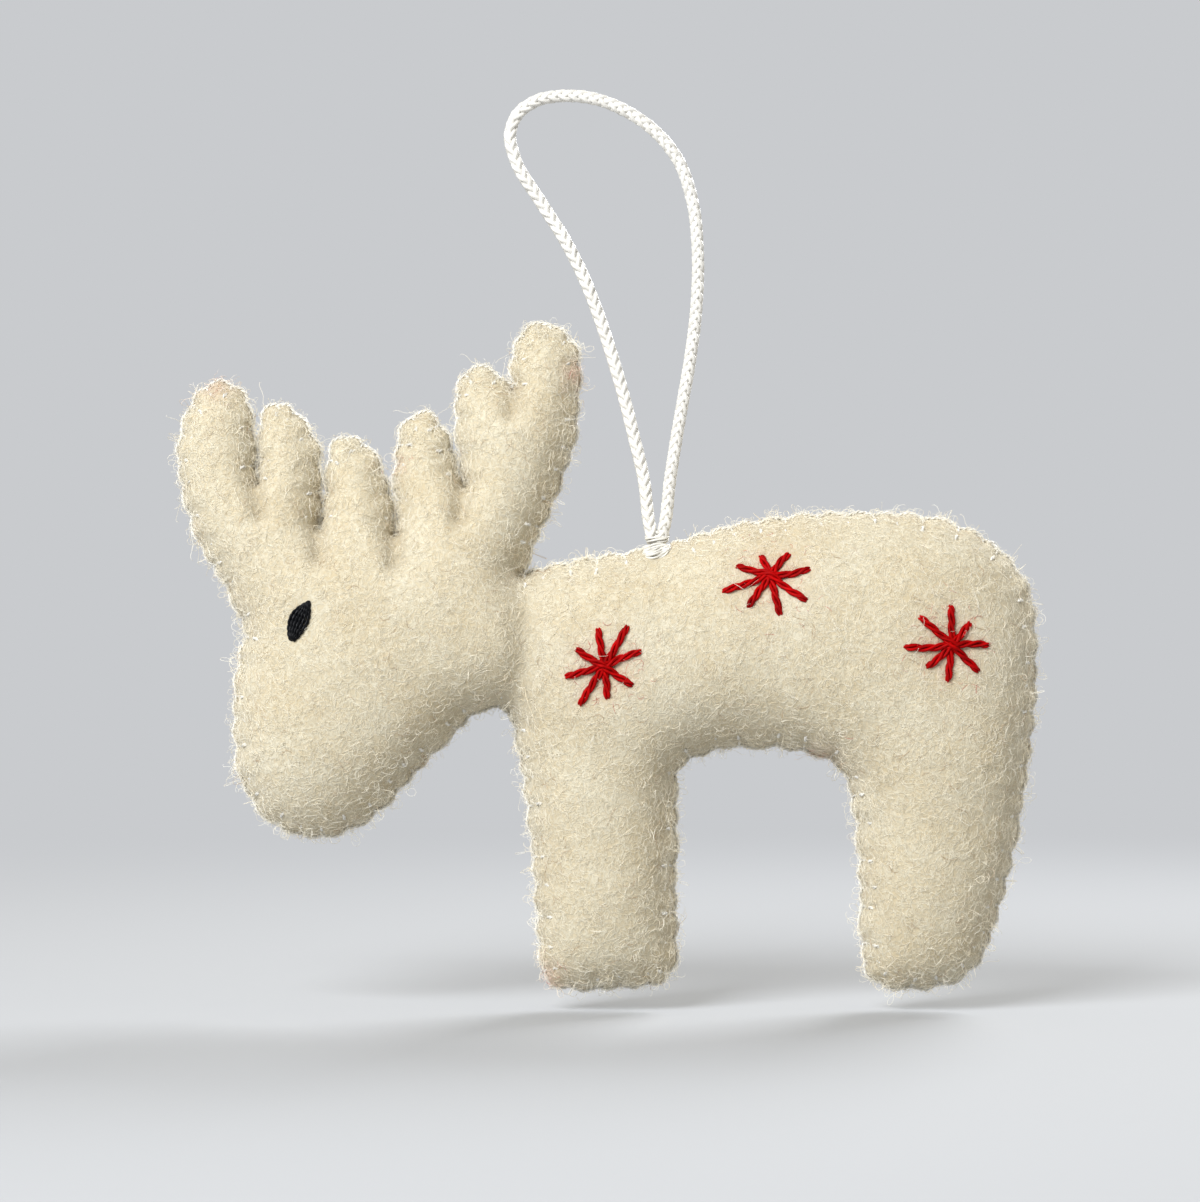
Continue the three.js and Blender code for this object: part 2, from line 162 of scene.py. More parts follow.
def srgb(red: int, green: int, blue: int) -> Colour:
    """Turn a screen colour into a linear one.

    Args:
        red: the red channel, 0 to 255.
        green: the green channel, 0 to 255.
        blue: the blue channel, 0 to 255.

    Returns:
        The linear colour, opaque.
    """
    shares = np.array((red, green, blue)) / 255
    linear = np.where(shares <= 0.04045, shares / 12.92, ((shares + 0.055) / 1.055) ** 2.4)
    return (*linear.tolist(), 1.0)


def even_line(line: np.ndarray, step: float) -> np.ndarray:
    """Space the points of a line evenly.

    Args:
        line: the line's points, one a row.
        step: about how far apart they become.

    Returns:
        The evenly spaced points, ends included.
    """
    along = length_along(line)
    places = np.linspace(0.0, along[-1], max(2, round(along[-1] / step) + 1))
    return np.column_stack([np.interp(places, along, axis) for axis in line.T])


def length_along(line: np.ndarray) -> np.ndarray:
    """Return the length of a line up to each of its points."""
    gaps = np.linalg.norm(np.diff(line, axis=0), axis=1)
    return np.concatenate(([0.0], np.cumsum(gaps)))


def smooth_line(points: np.ndarray, step: float) -> np.ndarray:
    """Draw a smooth line through a few points.

    Args:
        points: the points that it goes through, one a row.
        step: about how far apart the line's own points are.

    Returns:
        Even points along the line, ends included.
    """
    along = length_along(points)
    gaps = np.diff(along)
    slopes = np.gradient(points, along, axis=0)
    fine = np.linspace(0.0, along[-1], FINER * max(LEAST_STEPS, round(along[-1] / step)))
    k = np.clip(np.searchsorted(along, fine, side="right") - 1, 0, len(gaps) - 1)
    gap = gaps[k][:, None]
    t = (fine - along[k])[:, None] / gap
    line = points[k] * (1 + 2 * t) * (1 - t) ** 2 + points[k + 1] * t**2 * (3 - 2 * t)
    line += gap * t * (1 - t) * (slopes[k] * (1 - t) - slopes[k + 1] * t)
    return even_line(line, step)


def away_from(places: np.ndarray, start: np.ndarray, end: np.ndarray) -> np.ndarray:
    """Measure how far places are from a straight stretch.

    Args:
        places: the places, one a row.
        start: one end of the stretch.
        end: its other end.

    Returns:
        Each place's distance from the nearest point of the stretch.
    """
    reach = end - start
    share = np.clip((places - start) @ reach / (reach @ reach), 0, 1)
    return np.linalg.norm(places - start - share[:, None] * reach, axis=1)


def to_nearest(places: np.ndarray, targets: np.ndarray) -> np.ndarray:
    """Measure how far each place is from the nearest of many targets.

    Args:
        places: the places, one a row.
        targets: the targets, one a row.

    Returns:
        Each place's distance from its nearest target.
    """
    near = KDTree(len(targets))
    for k, (x, z) in enumerate(targets):
        near.insert((x, z, 0.0), k)
    near.balance()
    return np.array([near.find((x, z, 0.0))[2] for x, z in places])


def bell(away: np.ndarray, width: float) -> np.ndarray:
    """Return a share that is 1 at no distance and fades out over a width."""
    return np.exp(-((away / width) ** 2))


def unit(vectors: np.ndarray) -> np.ndarray:
    """Scale each row to length 1."""
    return vectors / np.maximum(np.linalg.norm(vectors, axis=1, keepdims=True), NO_LENGTH)


def upright(line: np.ndarray) -> np.ndarray:
    """Stand a flat line of x and z up in the plane of the seam."""
    return np.column_stack((line[:, 0], np.zeros(len(line)), line[:, 1]))


def plies(
    path: np.ndarray,
    normals: np.ndarray,
    count: int,
    spread: float | np.ndarray,
    pitch: float,
    flat: float = 1.0,
) -> list[np.ndarray]:
    """Twist some plies about a path.

    Args:
        path: the thread's middle line.
        normals: a direction across the path, as the thread lies: one for all of it or one at each point.
        count: how many plies there are.
        spread: how far a ply's middle is from the thread's, along the whole path or at each point.
        pitch: the length of a full turn.
        flat: how far the thread keeps its thickness along the normals.

    Returns:
        The middle line of each ply.
    """
    ahead = unit(np.gradient(path, axis=0))
    sides = unit(np.cross(ahead, normals))
    ups = np.cross(sides, ahead)
    along = length_along(path)
    lines = []
    for k in range(count):
        turn = 2 * math.pi * (along / pitch + k / count)[:, None]
        lines.append(path + spread * (np.cos(turn) * sides + flat * np.sin(turn) * ups))
    return lines


def add_object(name: str, mesh: bpy.types.Mesh, smooth: bool = True) -> bpy.types.Object:
    """Put a mesh into the scene as an object at the origin.

    Args:
        name: the piece's name.
        mesh: its mesh, with its place in it.
        smooth: whether its faces are shaded smooth.

    Returns:
        The new object.
    """
    mesh.polygons.foreach_set("use_smooth", np.full(len(mesh.polygons), smooth))
    made = bpy.data.objects.new(name, mesh)
    bpy.context.scene.collection.objects.link(made)
    return made


def finished(shape: bmesh.types.BMesh, name: str, smooth: bool = True) -> bpy.types.Object:
    """Turn a bmesh into an object and free it.

    Args:
        shape: the modelled shape.
        name: the piece's name.
        smooth: whether its faces are shaded smooth.

    Returns:
        The new object.
    """
    mesh = bpy.data.meshes.new(name)
    shape.to_mesh(mesh)
    shape.free()
    return add_object(name, mesh, smooth)


def taken_from(draft: bpy.types.Object) -> bmesh.types.BMesh:
    """Take the shape of a draft with its bevel or modifiers applied, and remove the draft.

    Args:
        draft: an object that isn't in the scene yet.

    Returns:
        The shape.
    """
    bpy.context.scene.collection.objects.link(draft)
    bpy.context.view_layer.update()
    shaped = draft.evaluated_get(bpy.context.evaluated_depsgraph_get())
    mesh = bpy.data.meshes.new_from_object(shaped)
    bpy.data.objects.remove(draft)
    shape = bmesh.new()
    shape.from_mesh(mesh)
    bpy.data.meshes.remove(mesh)
    return shape


def strands(
    name: str, paths: Sequence[np.ndarray], radius: float, taper: float = 1.0, closed: bool = False
) -> bpy.types.Object:
    """Make round strands along some paths, as one piece.

    Args:
        name: the piece's name.
        paths: each strand's middle line.
        radius: the radius of a strand.
        taper: the share of the radius that is left at the strand's ends.
        closed: whether each strand runs back into its start.

    Returns:
        The piece, a closed mesh.
    """
    curve = bpy.data.curves.new(name, "CURVE")
    curve.dimensions = "3D"
    curve.bevel_depth = radius
    curve.bevel_resolution = 1
    curve.use_fill_caps = True
    for path in paths:
        spline = curve.splines.new("POLY")
        spline.points.add(len(path) - 1)
        spline.points.foreach_set("co", np.column_stack((path, np.ones(len(path)))).ravel())
        share = np.sin(math.pi * np.linspace(0.0, 1.0, len(path)))
        swell = np.clip(taper + (1 - taper) * SWELL_RATE * share, taper, 1.0)
        spline.points.foreach_set("radius", swell)
        spline.use_cyclic_u = closed
    shape = taken_from(bpy.data.objects.new(f"{name}_draft", curve))
    bpy.data.curves.remove(curve)
    bmesh.ops.remove_doubles(shape, verts=shape.verts, dist=WELD)
    bmesh.ops.recalc_face_normals(shape, faces=shape.faces)
    return finished(shape, name)


class Nodes:
    """A shader tree that is built node by node."""

    def __init__(self, tree: bpy.types.ShaderNodeTree) -> None:
        """Keep the tree to add to."""
        self.tree = tree

    def add(self, kind: str, inputs: dict | None = None, **settings: object) -> bpy.types.Node:
        """Add a node.

        Args:
            kind: the node's type, without its prefix.
            inputs: for each input's name or number, a socket to link or a value to set.
            settings: the node's own properties.

        Returns:
            The node.
        """
        node = self.tree.nodes.new(f"ShaderNode{kind}")
        for key, value in settings.items():
            setattr(node, key, value)
        self.feed(node, inputs or {})
        return node

    def feed(self, node: bpy.types.Node, inputs: dict) -> None:
        """Give a node its inputs.

        Args:
            node: the node.
            inputs: for each input's name or number, a socket to link or a value to set.
        """
        for key, value in inputs.items():
            if isinstance(value, bpy.types.NodeSocket):
                self.tree.links.new(value, node.inputs[key])
            else:
                node.inputs[key].default_value = value

    def maths(self, operation: str, *values: object) -> bpy.types.NodeSocket:
        """Return the result of a Math node on some sockets or numbers."""
        return self.add("Math", dict(enumerate(values)), operation=operation).outputs[0]

    def mixed(self, share: object, first: object, second: object) -> bpy.types.NodeSocket:
        """Return a colour mixed from two by a share."""
        node = self.add("Mix", {0: share, 6: first, 7: second}, data_type="RGBA")
        return node.outputs[2]

    def attribute(self, name: str) -> bpy.types.NodeSocket:
        """Return the value of an attribute of the mesh."""
        return self.add("Attribute", attribute_name=name).outputs["Fac"]

    def group(self, tree: bpy.types.ShaderNodeTree, inputs: dict) -> bpy.types.Node:
        """Place a node group with its own values."""
        return self.add("Group", inputs, node_tree=tree)


# The matted fibres of the felt: each layer's shift, fineness and strength, and the grain under them
FIBRE_LAYERS = ((0.0, 1.0, 1.0), (3.7, 1.4, 0.9), (8.1, 1.9, 0.8))
FIBRE_WIDTH = 0.05
FIBRE_SHARE = 0.55
GRAIN_SCALE = 11.0
GRAIN_SHARE = 0.5


class SharedGroups:
    """The shader groups that several finishes use, each built once."""

    @staticmethod
    def _start(
        name: str,
        outputs: Sequence[str],
        vectors: Sequence[str] = ("Vector",),
        values: Sequence[str] = ("Scale",),
    ) -> tuple[Nodes, bpy.types.Node, bpy.types.Node]:
        """Start a group that takes vectors and values.

        Args:
            name: the group's name.
            outputs: the names of the values that it puts out.
            vectors: the names of the vectors that it takes.
            values: the names of the values that it takes.

        Returns:
            The tree, its input node and its output node.
        """
        tree = bpy.data.node_groups.new(name, "ShaderNodeTree")
        sockets = ((vectors, "INPUT", "Vector"), (values, "INPUT", "Float"), (outputs, "OUTPUT", "Float"))
        for labels, way, kind in sockets:
            for label in labels:
                tree.interface.new_socket(label, in_out=way, socket_type=f"NodeSocket{kind}")
        return Nodes(tree), tree.nodes.new("NodeGroupInput"), tree.nodes.new("NodeGroupOutput")

    @cached_property
    def felted(self) -> bpy.types.ShaderNodeTree:
        """Curled fibres matted together: a relief and a tone."""
        nodes, given, out = self._start("felted_fibres", ("Height", "Tone"))
        place = given.outputs["Vector"]
        scale = given.outputs["Scale"]
        matted = None
        for shift, finer, strength in FIBRE_LAYERS:
            moved = nodes.add("Mapping", {"Vector": place, "Location": (shift, 0.3, -shift)})
            size = nodes.maths("MULTIPLY", scale, finer)
            cloud = nodes.add("TexNoise", {"Vector": moved.outputs[0], "Scale": size, "Detail": 1.0})
            away = nodes.maths("ABSOLUTE", nodes.maths("SUBTRACT", cloud.outputs["Fac"], 0.5))
            reach = {"Value": away, "From Max": FIBRE_WIDTH, "To Min": strength, "To Max": 0.0}
            curl = nodes.add("MapRange", reach).outputs[0]
            matted = curl if matted is None else nodes.maths("MAXIMUM", matted, curl)
        size = nodes.maths("MULTIPLY", scale, GRAIN_SCALE)
        fine = nodes.add("TexNoise", {"Vector": place, "Scale": size, "Detail": 3.0})
        grain = nodes.maths("MULTIPLY", fine.outputs["Fac"], GRAIN_SHARE)
        blend = nodes.maths("MULTIPLY_ADD", matted, FIBRE_SHARE, grain)
        nodes.feed(out, {"Height": blend, "Tone": blend})
        return nodes.tree

    @cached_property
    def drift(self) -> bpy.types.ShaderNodeTree:
        """A slow drift of tone across a piece."""
        nodes, given, out = self._start("tone_drift", ("Share",))
        settings = {"Vector": given.outputs["Vector"], "Scale": given.outputs["Scale"], "Detail": 3.0}
        cloud = nodes.add("TexNoise", settings)
        spread = nodes.add("MapRange", {"Value": cloud.outputs["Fac"], "From Min": 0.35, "From Max": 0.68})
        nodes.feed(out, {"Share": spread.outputs[0]})
        return nodes.tree

    @cached_property
    def filaments(self) -> bpy.types.ShaderNodeTree:
        """Fine filaments that run along a strand, from its own map."""
        sockets = (("Height", "Tone"), ("Lay", "Place"), ("Along", "Around"))
        nodes, given, out = self._start("filaments", *sockets)
        stretch = nodes.add("CombineXYZ", {0: given.outputs["Along"], 1: given.outputs["Around"]})
        moved = nodes.add("VectorMath", {0: given.outputs["Place"], "Scale": 160.0}, operation="SCALE")
        terms = {0: given.outputs["Lay"], 1: stretch.outputs[0], 2: moved.outputs[0]}
        laid = nodes.add("VectorMath", terms, operation="MULTIPLY_ADD")
        streaks = nodes.add("TexNoise", {"Vector": laid.outputs[0], "Scale": 1.0, "Detail": 2.0})
        spread = nodes.add("MapRange", {"Value": streaks.outputs["Fac"], "From Min": 0.3, "From Max": 0.7})
        nodes.feed(out, {"Height": spread.outputs[0], "Tone": spread.outputs[0]})
        return nodes.tree


GROUPS = SharedGroups()


@dataclass(frozen=True)
class Finish:
    """What all finishes share: a light and a dark tone, and how the surface takes light."""

    name: str
    light: Colour
    dark: Colour
    roughness: float
    sheen: float = 0.0
    specular: float = 0.3
    sheen_roughness: ClassVar[float] = 0.45
    bump: ClassVar[float] = 0.8

    def _start(self) -> tuple[bpy.types.Material, Nodes, bpy.types.Node]:
        """Start the material.

        Returns:
            The material, its tree and its shader.
        """
        material = bpy.data.materials.new(self.name)
        material.use_nodes = True
        nodes = Nodes(material.node_tree)
        shader = material.node_tree.nodes["Principled BSDF"]
        settings = {
            "Roughness": self.roughness,
            "Sheen Weight": self.sheen,
            "Sheen Roughness": self.sheen_roughness,
            "Specular IOR Level": self.specular,
        }
        nodes.feed(shader, settings)
        return material, nodes, shader

    def _relief(self, nodes: Nodes, height: bpy.types.NodeSocket, depth: float) -> bpy.types.NodeSocket:
        """Return the normals of a fine relief, from its height of 0 to 1 and its depth in metres."""
        return nodes.add("Bump", {"Strength": self.bump, "Distance": depth, "Height": height}).outputs[0]


@dataclass(frozen=True)
class FeltFinish(Finish):
    """Matted wool, or loose filling: fibres in relief, a drift of tone, blush, and painted shade that darkens
    the creases.
    """

    fibre_scale: float = 820.0
    drift_scale: float = 120.0
    drift_share: float = 0.35
    relief: float = 0.13 * MM
    blush: Colour = srgb(176, 104, 79)
    # Painted shade: the dark brown-grey that the felt's colour is pulled towards in the creases.
    crease: Colour = srgb(123, 104, 74)

    def material(self) -> bpy.types.Material:
        """Return the finished material."""
        material, nodes, shader = self._start()
        place = nodes.add("TexCoord").outputs["Object"]
        felted = nodes.group(GROUPS.felted, {"Vector": place, "Scale": self.fibre_scale})
        drift = nodes.group(GROUPS.drift, {"Vector": place, "Scale": self.drift_scale})
        tone = nodes.maths("MULTIPLY_ADD", drift.outputs[0], self.drift_share, felted.outputs["Tone"])
        colour = nodes.mixed(tone, self.dark, self.light)
        colour = nodes.mixed(nodes.attribute("blush"), colour, self.blush)
        # Painted shade: darken the colour where the creases press the felt in.
        colour = nodes.mixed(nodes.attribute("crease"), colour, self.crease)
        relief = self._relief(nodes, felted.outputs["Height"], self.relief)
        nodes.feed(shader, {"Base Color": colour, "Normal": relief})
        return material


@dataclass(frozen=True)
class FibreFinish(Finish):
    """Single wool fibres, each in its own tone."""

    tan: Colour = srgb(168, 128, 84)
    blush: Colour = srgb(206, 96, 84)

    def material(self) -> bpy.types.Material:
        """Return the finished material."""
        material, nodes, shader = self._start()
        colour = nodes.mixed(nodes.attribute("tone"), self.dark, self.light)
        colour = nodes.mixed(nodes.attribute("tan"), colour, self.tan)
        colour = nodes.mixed(nodes.attribute("blush"), colour, self.blush)
        nodes.feed(shader, {"Base Color": colour})
        return material


@dataclass(frozen=True)
class StrandFinish(Finish):
    """Thread, floss or cord: glossy filaments along each strand, and a drift of tone."""

    along: float = 4.0
    around: float = 9.0
    drift_scale: float = 500.0
    drift_share: float = 0.4
    relief: float = 0.03 * MM

    def material(self) -> bpy.types.Material:
        """Return the finished material."""
        material, nodes, shader = self._start()
        lay = nodes.add("TexCoord").outputs["UV"]
        place = nodes.add("TexCoord").outputs["Object"]
        taken = {"Lay": lay, "Place": place, "Along": self.along, "Around": self.around}
        filaments = nodes.group(GROUPS.filaments, taken)
        drift = nodes.group(GROUPS.drift, {"Vector": place, "Scale": self.drift_scale})
        share = nodes.maths("MULTIPLY", drift.outputs[0], self.drift_share)
        tone = nodes.maths("MULTIPLY_ADD", filaments.outputs["Tone"], 1 - self.drift_share, share)
        colour = nodes.mixed(tone, self.dark, self.light)
        relief = self._relief(nodes, filaments.outputs["Height"], self.relief)
        nodes.feed(shader, {"Base Color": colour, "Normal": relief})
        return material


@dataclass(frozen=True)
class FloorFinish(Finish):
    """A plain pale floor that runs out into the background."""

    fade_from: float = 0.05
    fade_to: float = 0.45

    def material(self) -> bpy.types.Material:
        """Return the finished material."""
        material, nodes, shader = self._start()
        place = nodes.add("TexCoord").outputs["Object"]
        away = nodes.add("VectorMath", {0: place}, operation="LENGTH").outputs["Value"]
        fade = {"Value": away, "From Min": self.fade_from, "From Max": self.fade_to}
        far = nodes.add("MapRange", fade, interpolation_type="SMOOTHERSTEP").outputs[0]
        nodes.feed(shader, {"Base Color": self.light})
        backdrop = nodes.add("Emission", {"Color": self.dark, "Strength": 1.0})
        blend = nodes.add("MixShader", {0: far, 1: shader.outputs[0], 2: backdrop.outputs[0]})
        nodes.feed(nodes.tree.nodes["Material Output"], {"Surface": blend.outputs[0]})
        return material


BACKDROP = srgb(201, 203, 206)
CREAM_FELT = FeltFinish(
    "cream_felt", srgb(206, 199, 178), srgb(189, 173, 140), roughness=0.95, sheen=0.2, specular=0.1
)
FILLING = FeltFinish(
    "fibre_filling", srgb(250, 249, 246), srgb(226, 222, 212), roughness=1.0, sheen=0.3, specular=0.1,
    fibre_scale=400.0,
)
WOOL_FIBRE = FibreFinish("wool_fibre", srgb(255, 252, 240), srgb(243, 230, 200), roughness=0.8, specular=0.2)
RED_LINT = FibreFinish("red_lint", srgb(206, 40, 44), srgb(170, 14, 22), roughness=0.8, specular=0.2)
WHITE_THREAD = StrandFinish(
    "white_thread", srgb(236, 234, 227), srgb(198, 195, 186), roughness=0.34, specular=0.4, along=8.0,
    around=5.0,
)
WHITE_CORD = StrandFinish(
    "white_cord", srgb(238, 236, 230), srgb(208, 205, 198), roughness=0.36, specular=0.4, along=60.0,
    around=7.0,
)
RED_FLOSS = StrandFinish(
    "red_floss", srgb(198, 3, 5), srgb(90, 0, 0), roughness=0.55, specular=0.06, along=14.0, around=7.0
)
BLACK_FLOSS = StrandFinish("black_floss", srgb(14, 15, 19), srgb(1, 1, 2), roughness=0.36, specular=0.14)
PALE_FLOOR = FloorFinish("pale_floor", srgb(172, 174, 177), BACKDROP, roughness=0.9)


def dress(piece: bpy.types.Object, material: bpy.types.Material, body: str) -> bpy.types.Object:
    """Give a piece its finish and the body that it moves with.

    Args:
        piece: the piece.
        material: its finish.
        body: the body that it rides on.

    Returns:
        The piece.
    """
    piece.data.materials.clear()
    piece.data.materials.append(material)
    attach(piece, body)
    log.info("%s: %d faces on %s", piece.name, len(piece.data.polygons), body)
    return piece


@dataclass
class Pattern:
    """The cut of the felt: its outline, the stitches along it, and how the filling swells it."""

    spacing: float = 0.6 * MM
    edge_clearance: float = 0.55
    pitch: float = 3.6 * MM
    scallop: float = 0.28 * MM
    spring: float = 8.0 * MM
    swell: float = 10.6 * MM
    edge_power: float = 0.6
    points_per_stitch: int = 6
    stitch_seed: int = 3
    settled: float = 1e-12
    same_place: float = 1e-9

    INSIDE_ONLY: ClassVar[int] = 1

    @cached_property
    def outline(self) -> np.ndarray:
        """The drawn outline as fine points, closed on itself."""
        runs = [smooth_line(np.array(run) * MM, self.spacing / 4)[:-1] for run in OUTLINE_RUNS]
        return np.vstack((*runs, runs[0][:1]))

    @cached_property
    def stitches(self) -> np.ndarray:
        """The number of the edge point at each stitch, sewn by hand and so a little uneven."""
        count = round(length_along(self.outline)[-1] / self.pitch)
        wander = np.random.default_rng(self.stitch_seed).integers(-1, 2, count)
        return np.arange(count) * self.points_per_stitch + wander

    @cached_property
    def edge(self) -> np.ndarray:
        """The outline as even points, drawn in a little at each stitch."""
        count = len(self.stitches) * self.points_per_stitch
        even = even_line(self.outline, length_along(self.outline)[-1] / count)[:-1]
        to_stitch = np.abs(np.arange(len(even))[:, None] - self.stitches[None, :])
        to_stitch = np.minimum(to_stitch, len(even) - to_stitch).min(axis=1)
        bulge = np.clip(to_stitch / (self.points_per_stitch / 2), 0, 1) * 2 - 1
        return even + self._outward(even) * (self.scallop * bulge)[:, None]

    @staticmethod
    def _outward(edge: np.ndarray) -> np.ndarray:
        """Return the direction out of a clockwise outline at each point."""
        ahead = unit(np.roll(edge, -2, axis=0) - np.roll(edge, 2, axis=0))
        return np.column_stack((-ahead[:, 1], ahead[:, 0]))

    @cached_property
    def outward(self) -> np.ndarray:
        """The direction out of the cut at each edge point."""
        return self._outward(self.edge)

    @cached_property
    def weave(self) -> tuple[np.ndarray, np.ndarray]:
        """The cut as a fine even mesh.

        Returns:
            The places of its points, those of the edge first, and its triangles.
        """
        low = self.edge.min(axis=0)
        high = self.edge.max(axis=0)
        rows = np.arange(low[1], high[1], self.spacing * math.sqrt(3) / 2)
        columns = np.arange(low[0], high[0], self.spacing)
        shift = (np.arange(len(rows)) % 2 * self.spacing / 2)[:, None]
        grid = np.column_stack(((columns[None, :] + shift).ravel(), np.repeat(rows, len(columns))))
        clear = to_nearest(grid, self.edge) > self.edge_clearance * self.spacing
        places = np.vstack((self.edge, grid[clear]))
        count = len(self.edge)
        rim = [(k, (k + 1) % count) for k in range(count)]
        spots = [Vector(place) for place in places]
        made = delaunay_2d_cdt(spots, rim, [], self.INSIDE_ONLY, self.same_place)
        triangles = np.array(made[2])
        used = np.unique(np.concatenate((np.arange(count), triangles.ravel())))
        renumbered = np.full(len(made[0]), -1)
        renumbered[used] = np.arange(len(used))
        return np.array(made[0])[used], renumbered[triangles]

    @cached_property
    def heights(self) -> np.ndarray:
        """How far the filling swells a face at each point: an evenly pressed skin, held at its edge."""
        places, triangles = self.weave
        corner = places[triangles]
        turned = [np.roll(corner, -k, axis=1) for k in range(3)]
        arms = [three[:, 1:] - three[:, :1] for three in turned]
        double = np.abs(np.cross(corner[:, 1] - corner[:, 0], corner[:, 2] - corner[:, 0]))
        pull = [(arm[:, 0] * arm[:, 1]).sum(axis=1) / double / 2 for arm in arms]
        ends = [(triangles[:, (k + 1) % 3], triangles[:, (k + 2) % 3]) for k in range(3)]
        rows = np.concatenate([np.concatenate(pair) for pair in ends])
        columns = np.concatenate([np.concatenate(pair[::-1]) for pair in ends])
        weights = np.concatenate([np.concatenate((one, one)) for one in pull])
        count = len(places)
        share = np.bincount(triangles.ravel(), np.repeat(double / 6, 3), count)
        stiff = np.bincount(rows, weights, count) + share / self.spring**2
        free = np.arange(count) >= len(self.edge)

        def applied(values: np.ndarray) -> np.ndarray:
            """Return the skin's pull at each point for these heights."""
            return (stiff * values - np.bincount(rows, weights * values[columns], count)) * free

        risen = np.zeros(count)
        left = share * free
        step = left / stiff
        strength = (left * left / stiff).sum()
        target = strength * self.settled
        while strength > target:
            pulled = applied(step)
            reach = strength / (step * pulled).sum()
            risen += reach * step
            left = left - reach * pulled
            before = strength
            strength = (left * left / stiff).sum()
            step = left / stiff + strength / before * step
        return self.swell * (np.maximum(risen, 0) / risen.max()) ** self.edge_power


@dataclass(frozen=True)
class Crease:
    """A fold in the felt along a line in millimetres, with its width and the share of the swell it takes."""

    line: Line
    width: float
    share: float
    step: ClassVar[float] = 0.5 * MM

    def pressed(self, places: np.ndarray) -> np.ndarray:
        """Return how far, as a share, this fold presses each place in: the felt sinks there and its colour
        takes painted shade.
        """
        line = smooth_line(np.array(self.line) * MM, self.step)
        away = np.linalg.norm(places[:, None, :] - line[None, :, :], axis=2).min(axis=1)
        return self.share * bell(away, self.width)


# Besides sinking the felt, these folds darken its colour as painted shade.
NECK = Crease(((-6.1, -61.4), (-5.2, -66.0), (-5.4, -72.5), (-7.2, -79.2)), 2.4 * MM, 0.2)
NOTCHES = tuple(
    Crease(line, 1.3 * MM, 0.3)
    for line in (
        ((-40.3, -49.9), (-39.4, -53.6)),
        ((-32.1, -55.8), (-31.7, -59.0)),
        ((-22.2, -56.6), (-21.9, -59.8)),
        ((-13.4, -50.2), (-13.7, -54.0)),
        ((-7.0, -37.6), (-7.0, -40.4)),
    )
)
CREASES = (NECK, *NOTCHES)


@dataclass(frozen=True)
class Star:
    """An embroidered star: its middle and its stitches' tips in millimetres, and how far its floss bleeds."""

    name: str
    middle: Place
    tips: Line
    tint: float = 0.34
    bleed: float = 0.85 * MM
    reach: float = 3.6 * MM

    def away(self, places: np.ndarray) -> np.ndarray:
        """Return how far each place is from the star's stitches."""
        middle = np.array(self.middle) * MM
        rays = [away_from(places, middle, np.array(tip) * MM) for tip in self.tips]
        return np.min(rays, axis=0)

    def blush(self, places: np.ndarray) -> np.ndarray:
        """Return how far the floss has coloured the felt at each place beside its stitches."""
        from_middle = np.linalg.norm(places - np.array(self.middle) * MM, axis=1)
        faded = (self.away(places) / self.bleed) ** 2 + (from_middle / self.reach) ** 2
        return self.tint * np.exp(-faded)


STARS = (
    Star(
        "chest_star",
        (4.8, -73.2),
        ((4.0, -68.2), (7.9, -67.9), (9.7, -71.2), (8.6, -75.7),
         (5.2, -77.5), (1.6, -78.3), (-0.3, -74.6), (1.1, -70.9)),
    ),
    Star(
        "back_star",
        (26.1, -61.8),
        ((24.8, -58.9), (28.7, -58.7), (31.3, -60.7), (30.8, -64.9),
         (27.3, -66.8), (23.1, -65.8), (19.8, -63.7), (21.6, -60.4)),
    ),
    Star(
        "rump_star",
        (49.1, -70.5),
        ((49.1, -65.3), (51.7, -67.5), (54.2, -70.5), (52.8, -74.0),
         (48.6, -75.3), (45.8, -73.4), (42.9, -70.7), (44.9, -66.8)),
    ),
)


@dataclass(frozen=True)
class Stain:
    """A faint blush on the felt: its middle and radius in millimetres, and its strength."""

    middle: Place
    radius: float
    strength: float

    def blush(self, places: np.ndarray) -> np.ndarray:
        """Return how strong the stain is at each place."""
        away = np.linalg.norm(places - np.array(self.middle) * MM, axis=1)
        return self.strength * bell(away, self.radius * MM)


STAINS = (
    Stain((-45.4, -36.9), radius=2.0, strength=0.16),
    Stain((0.9, -35.4), radius=1.5, strength=0.2),
    Stain((-2.4, -113.4), radius=2.0, strength=0.16),
    Stain((33.2, -84.9), radius=1.6, strength=0.12),
    Stain((-21.7, -47.2), radius=1.0, strength=0.14),
)
HALOES = tuple(Stain(star.middle, radius=5.0, strength=0.05) for star in STARS)
MOST_BLUSH = 0.6


def blush_at(places: np.ndarray) -> np.ndarray:
    """Return how far the felt is blushed at each place of x and z."""
    return np.clip(sum(mark.blush(places) for mark in (*STAINS, *HALOES, *STARS)), 0, MOST_BLUSH)


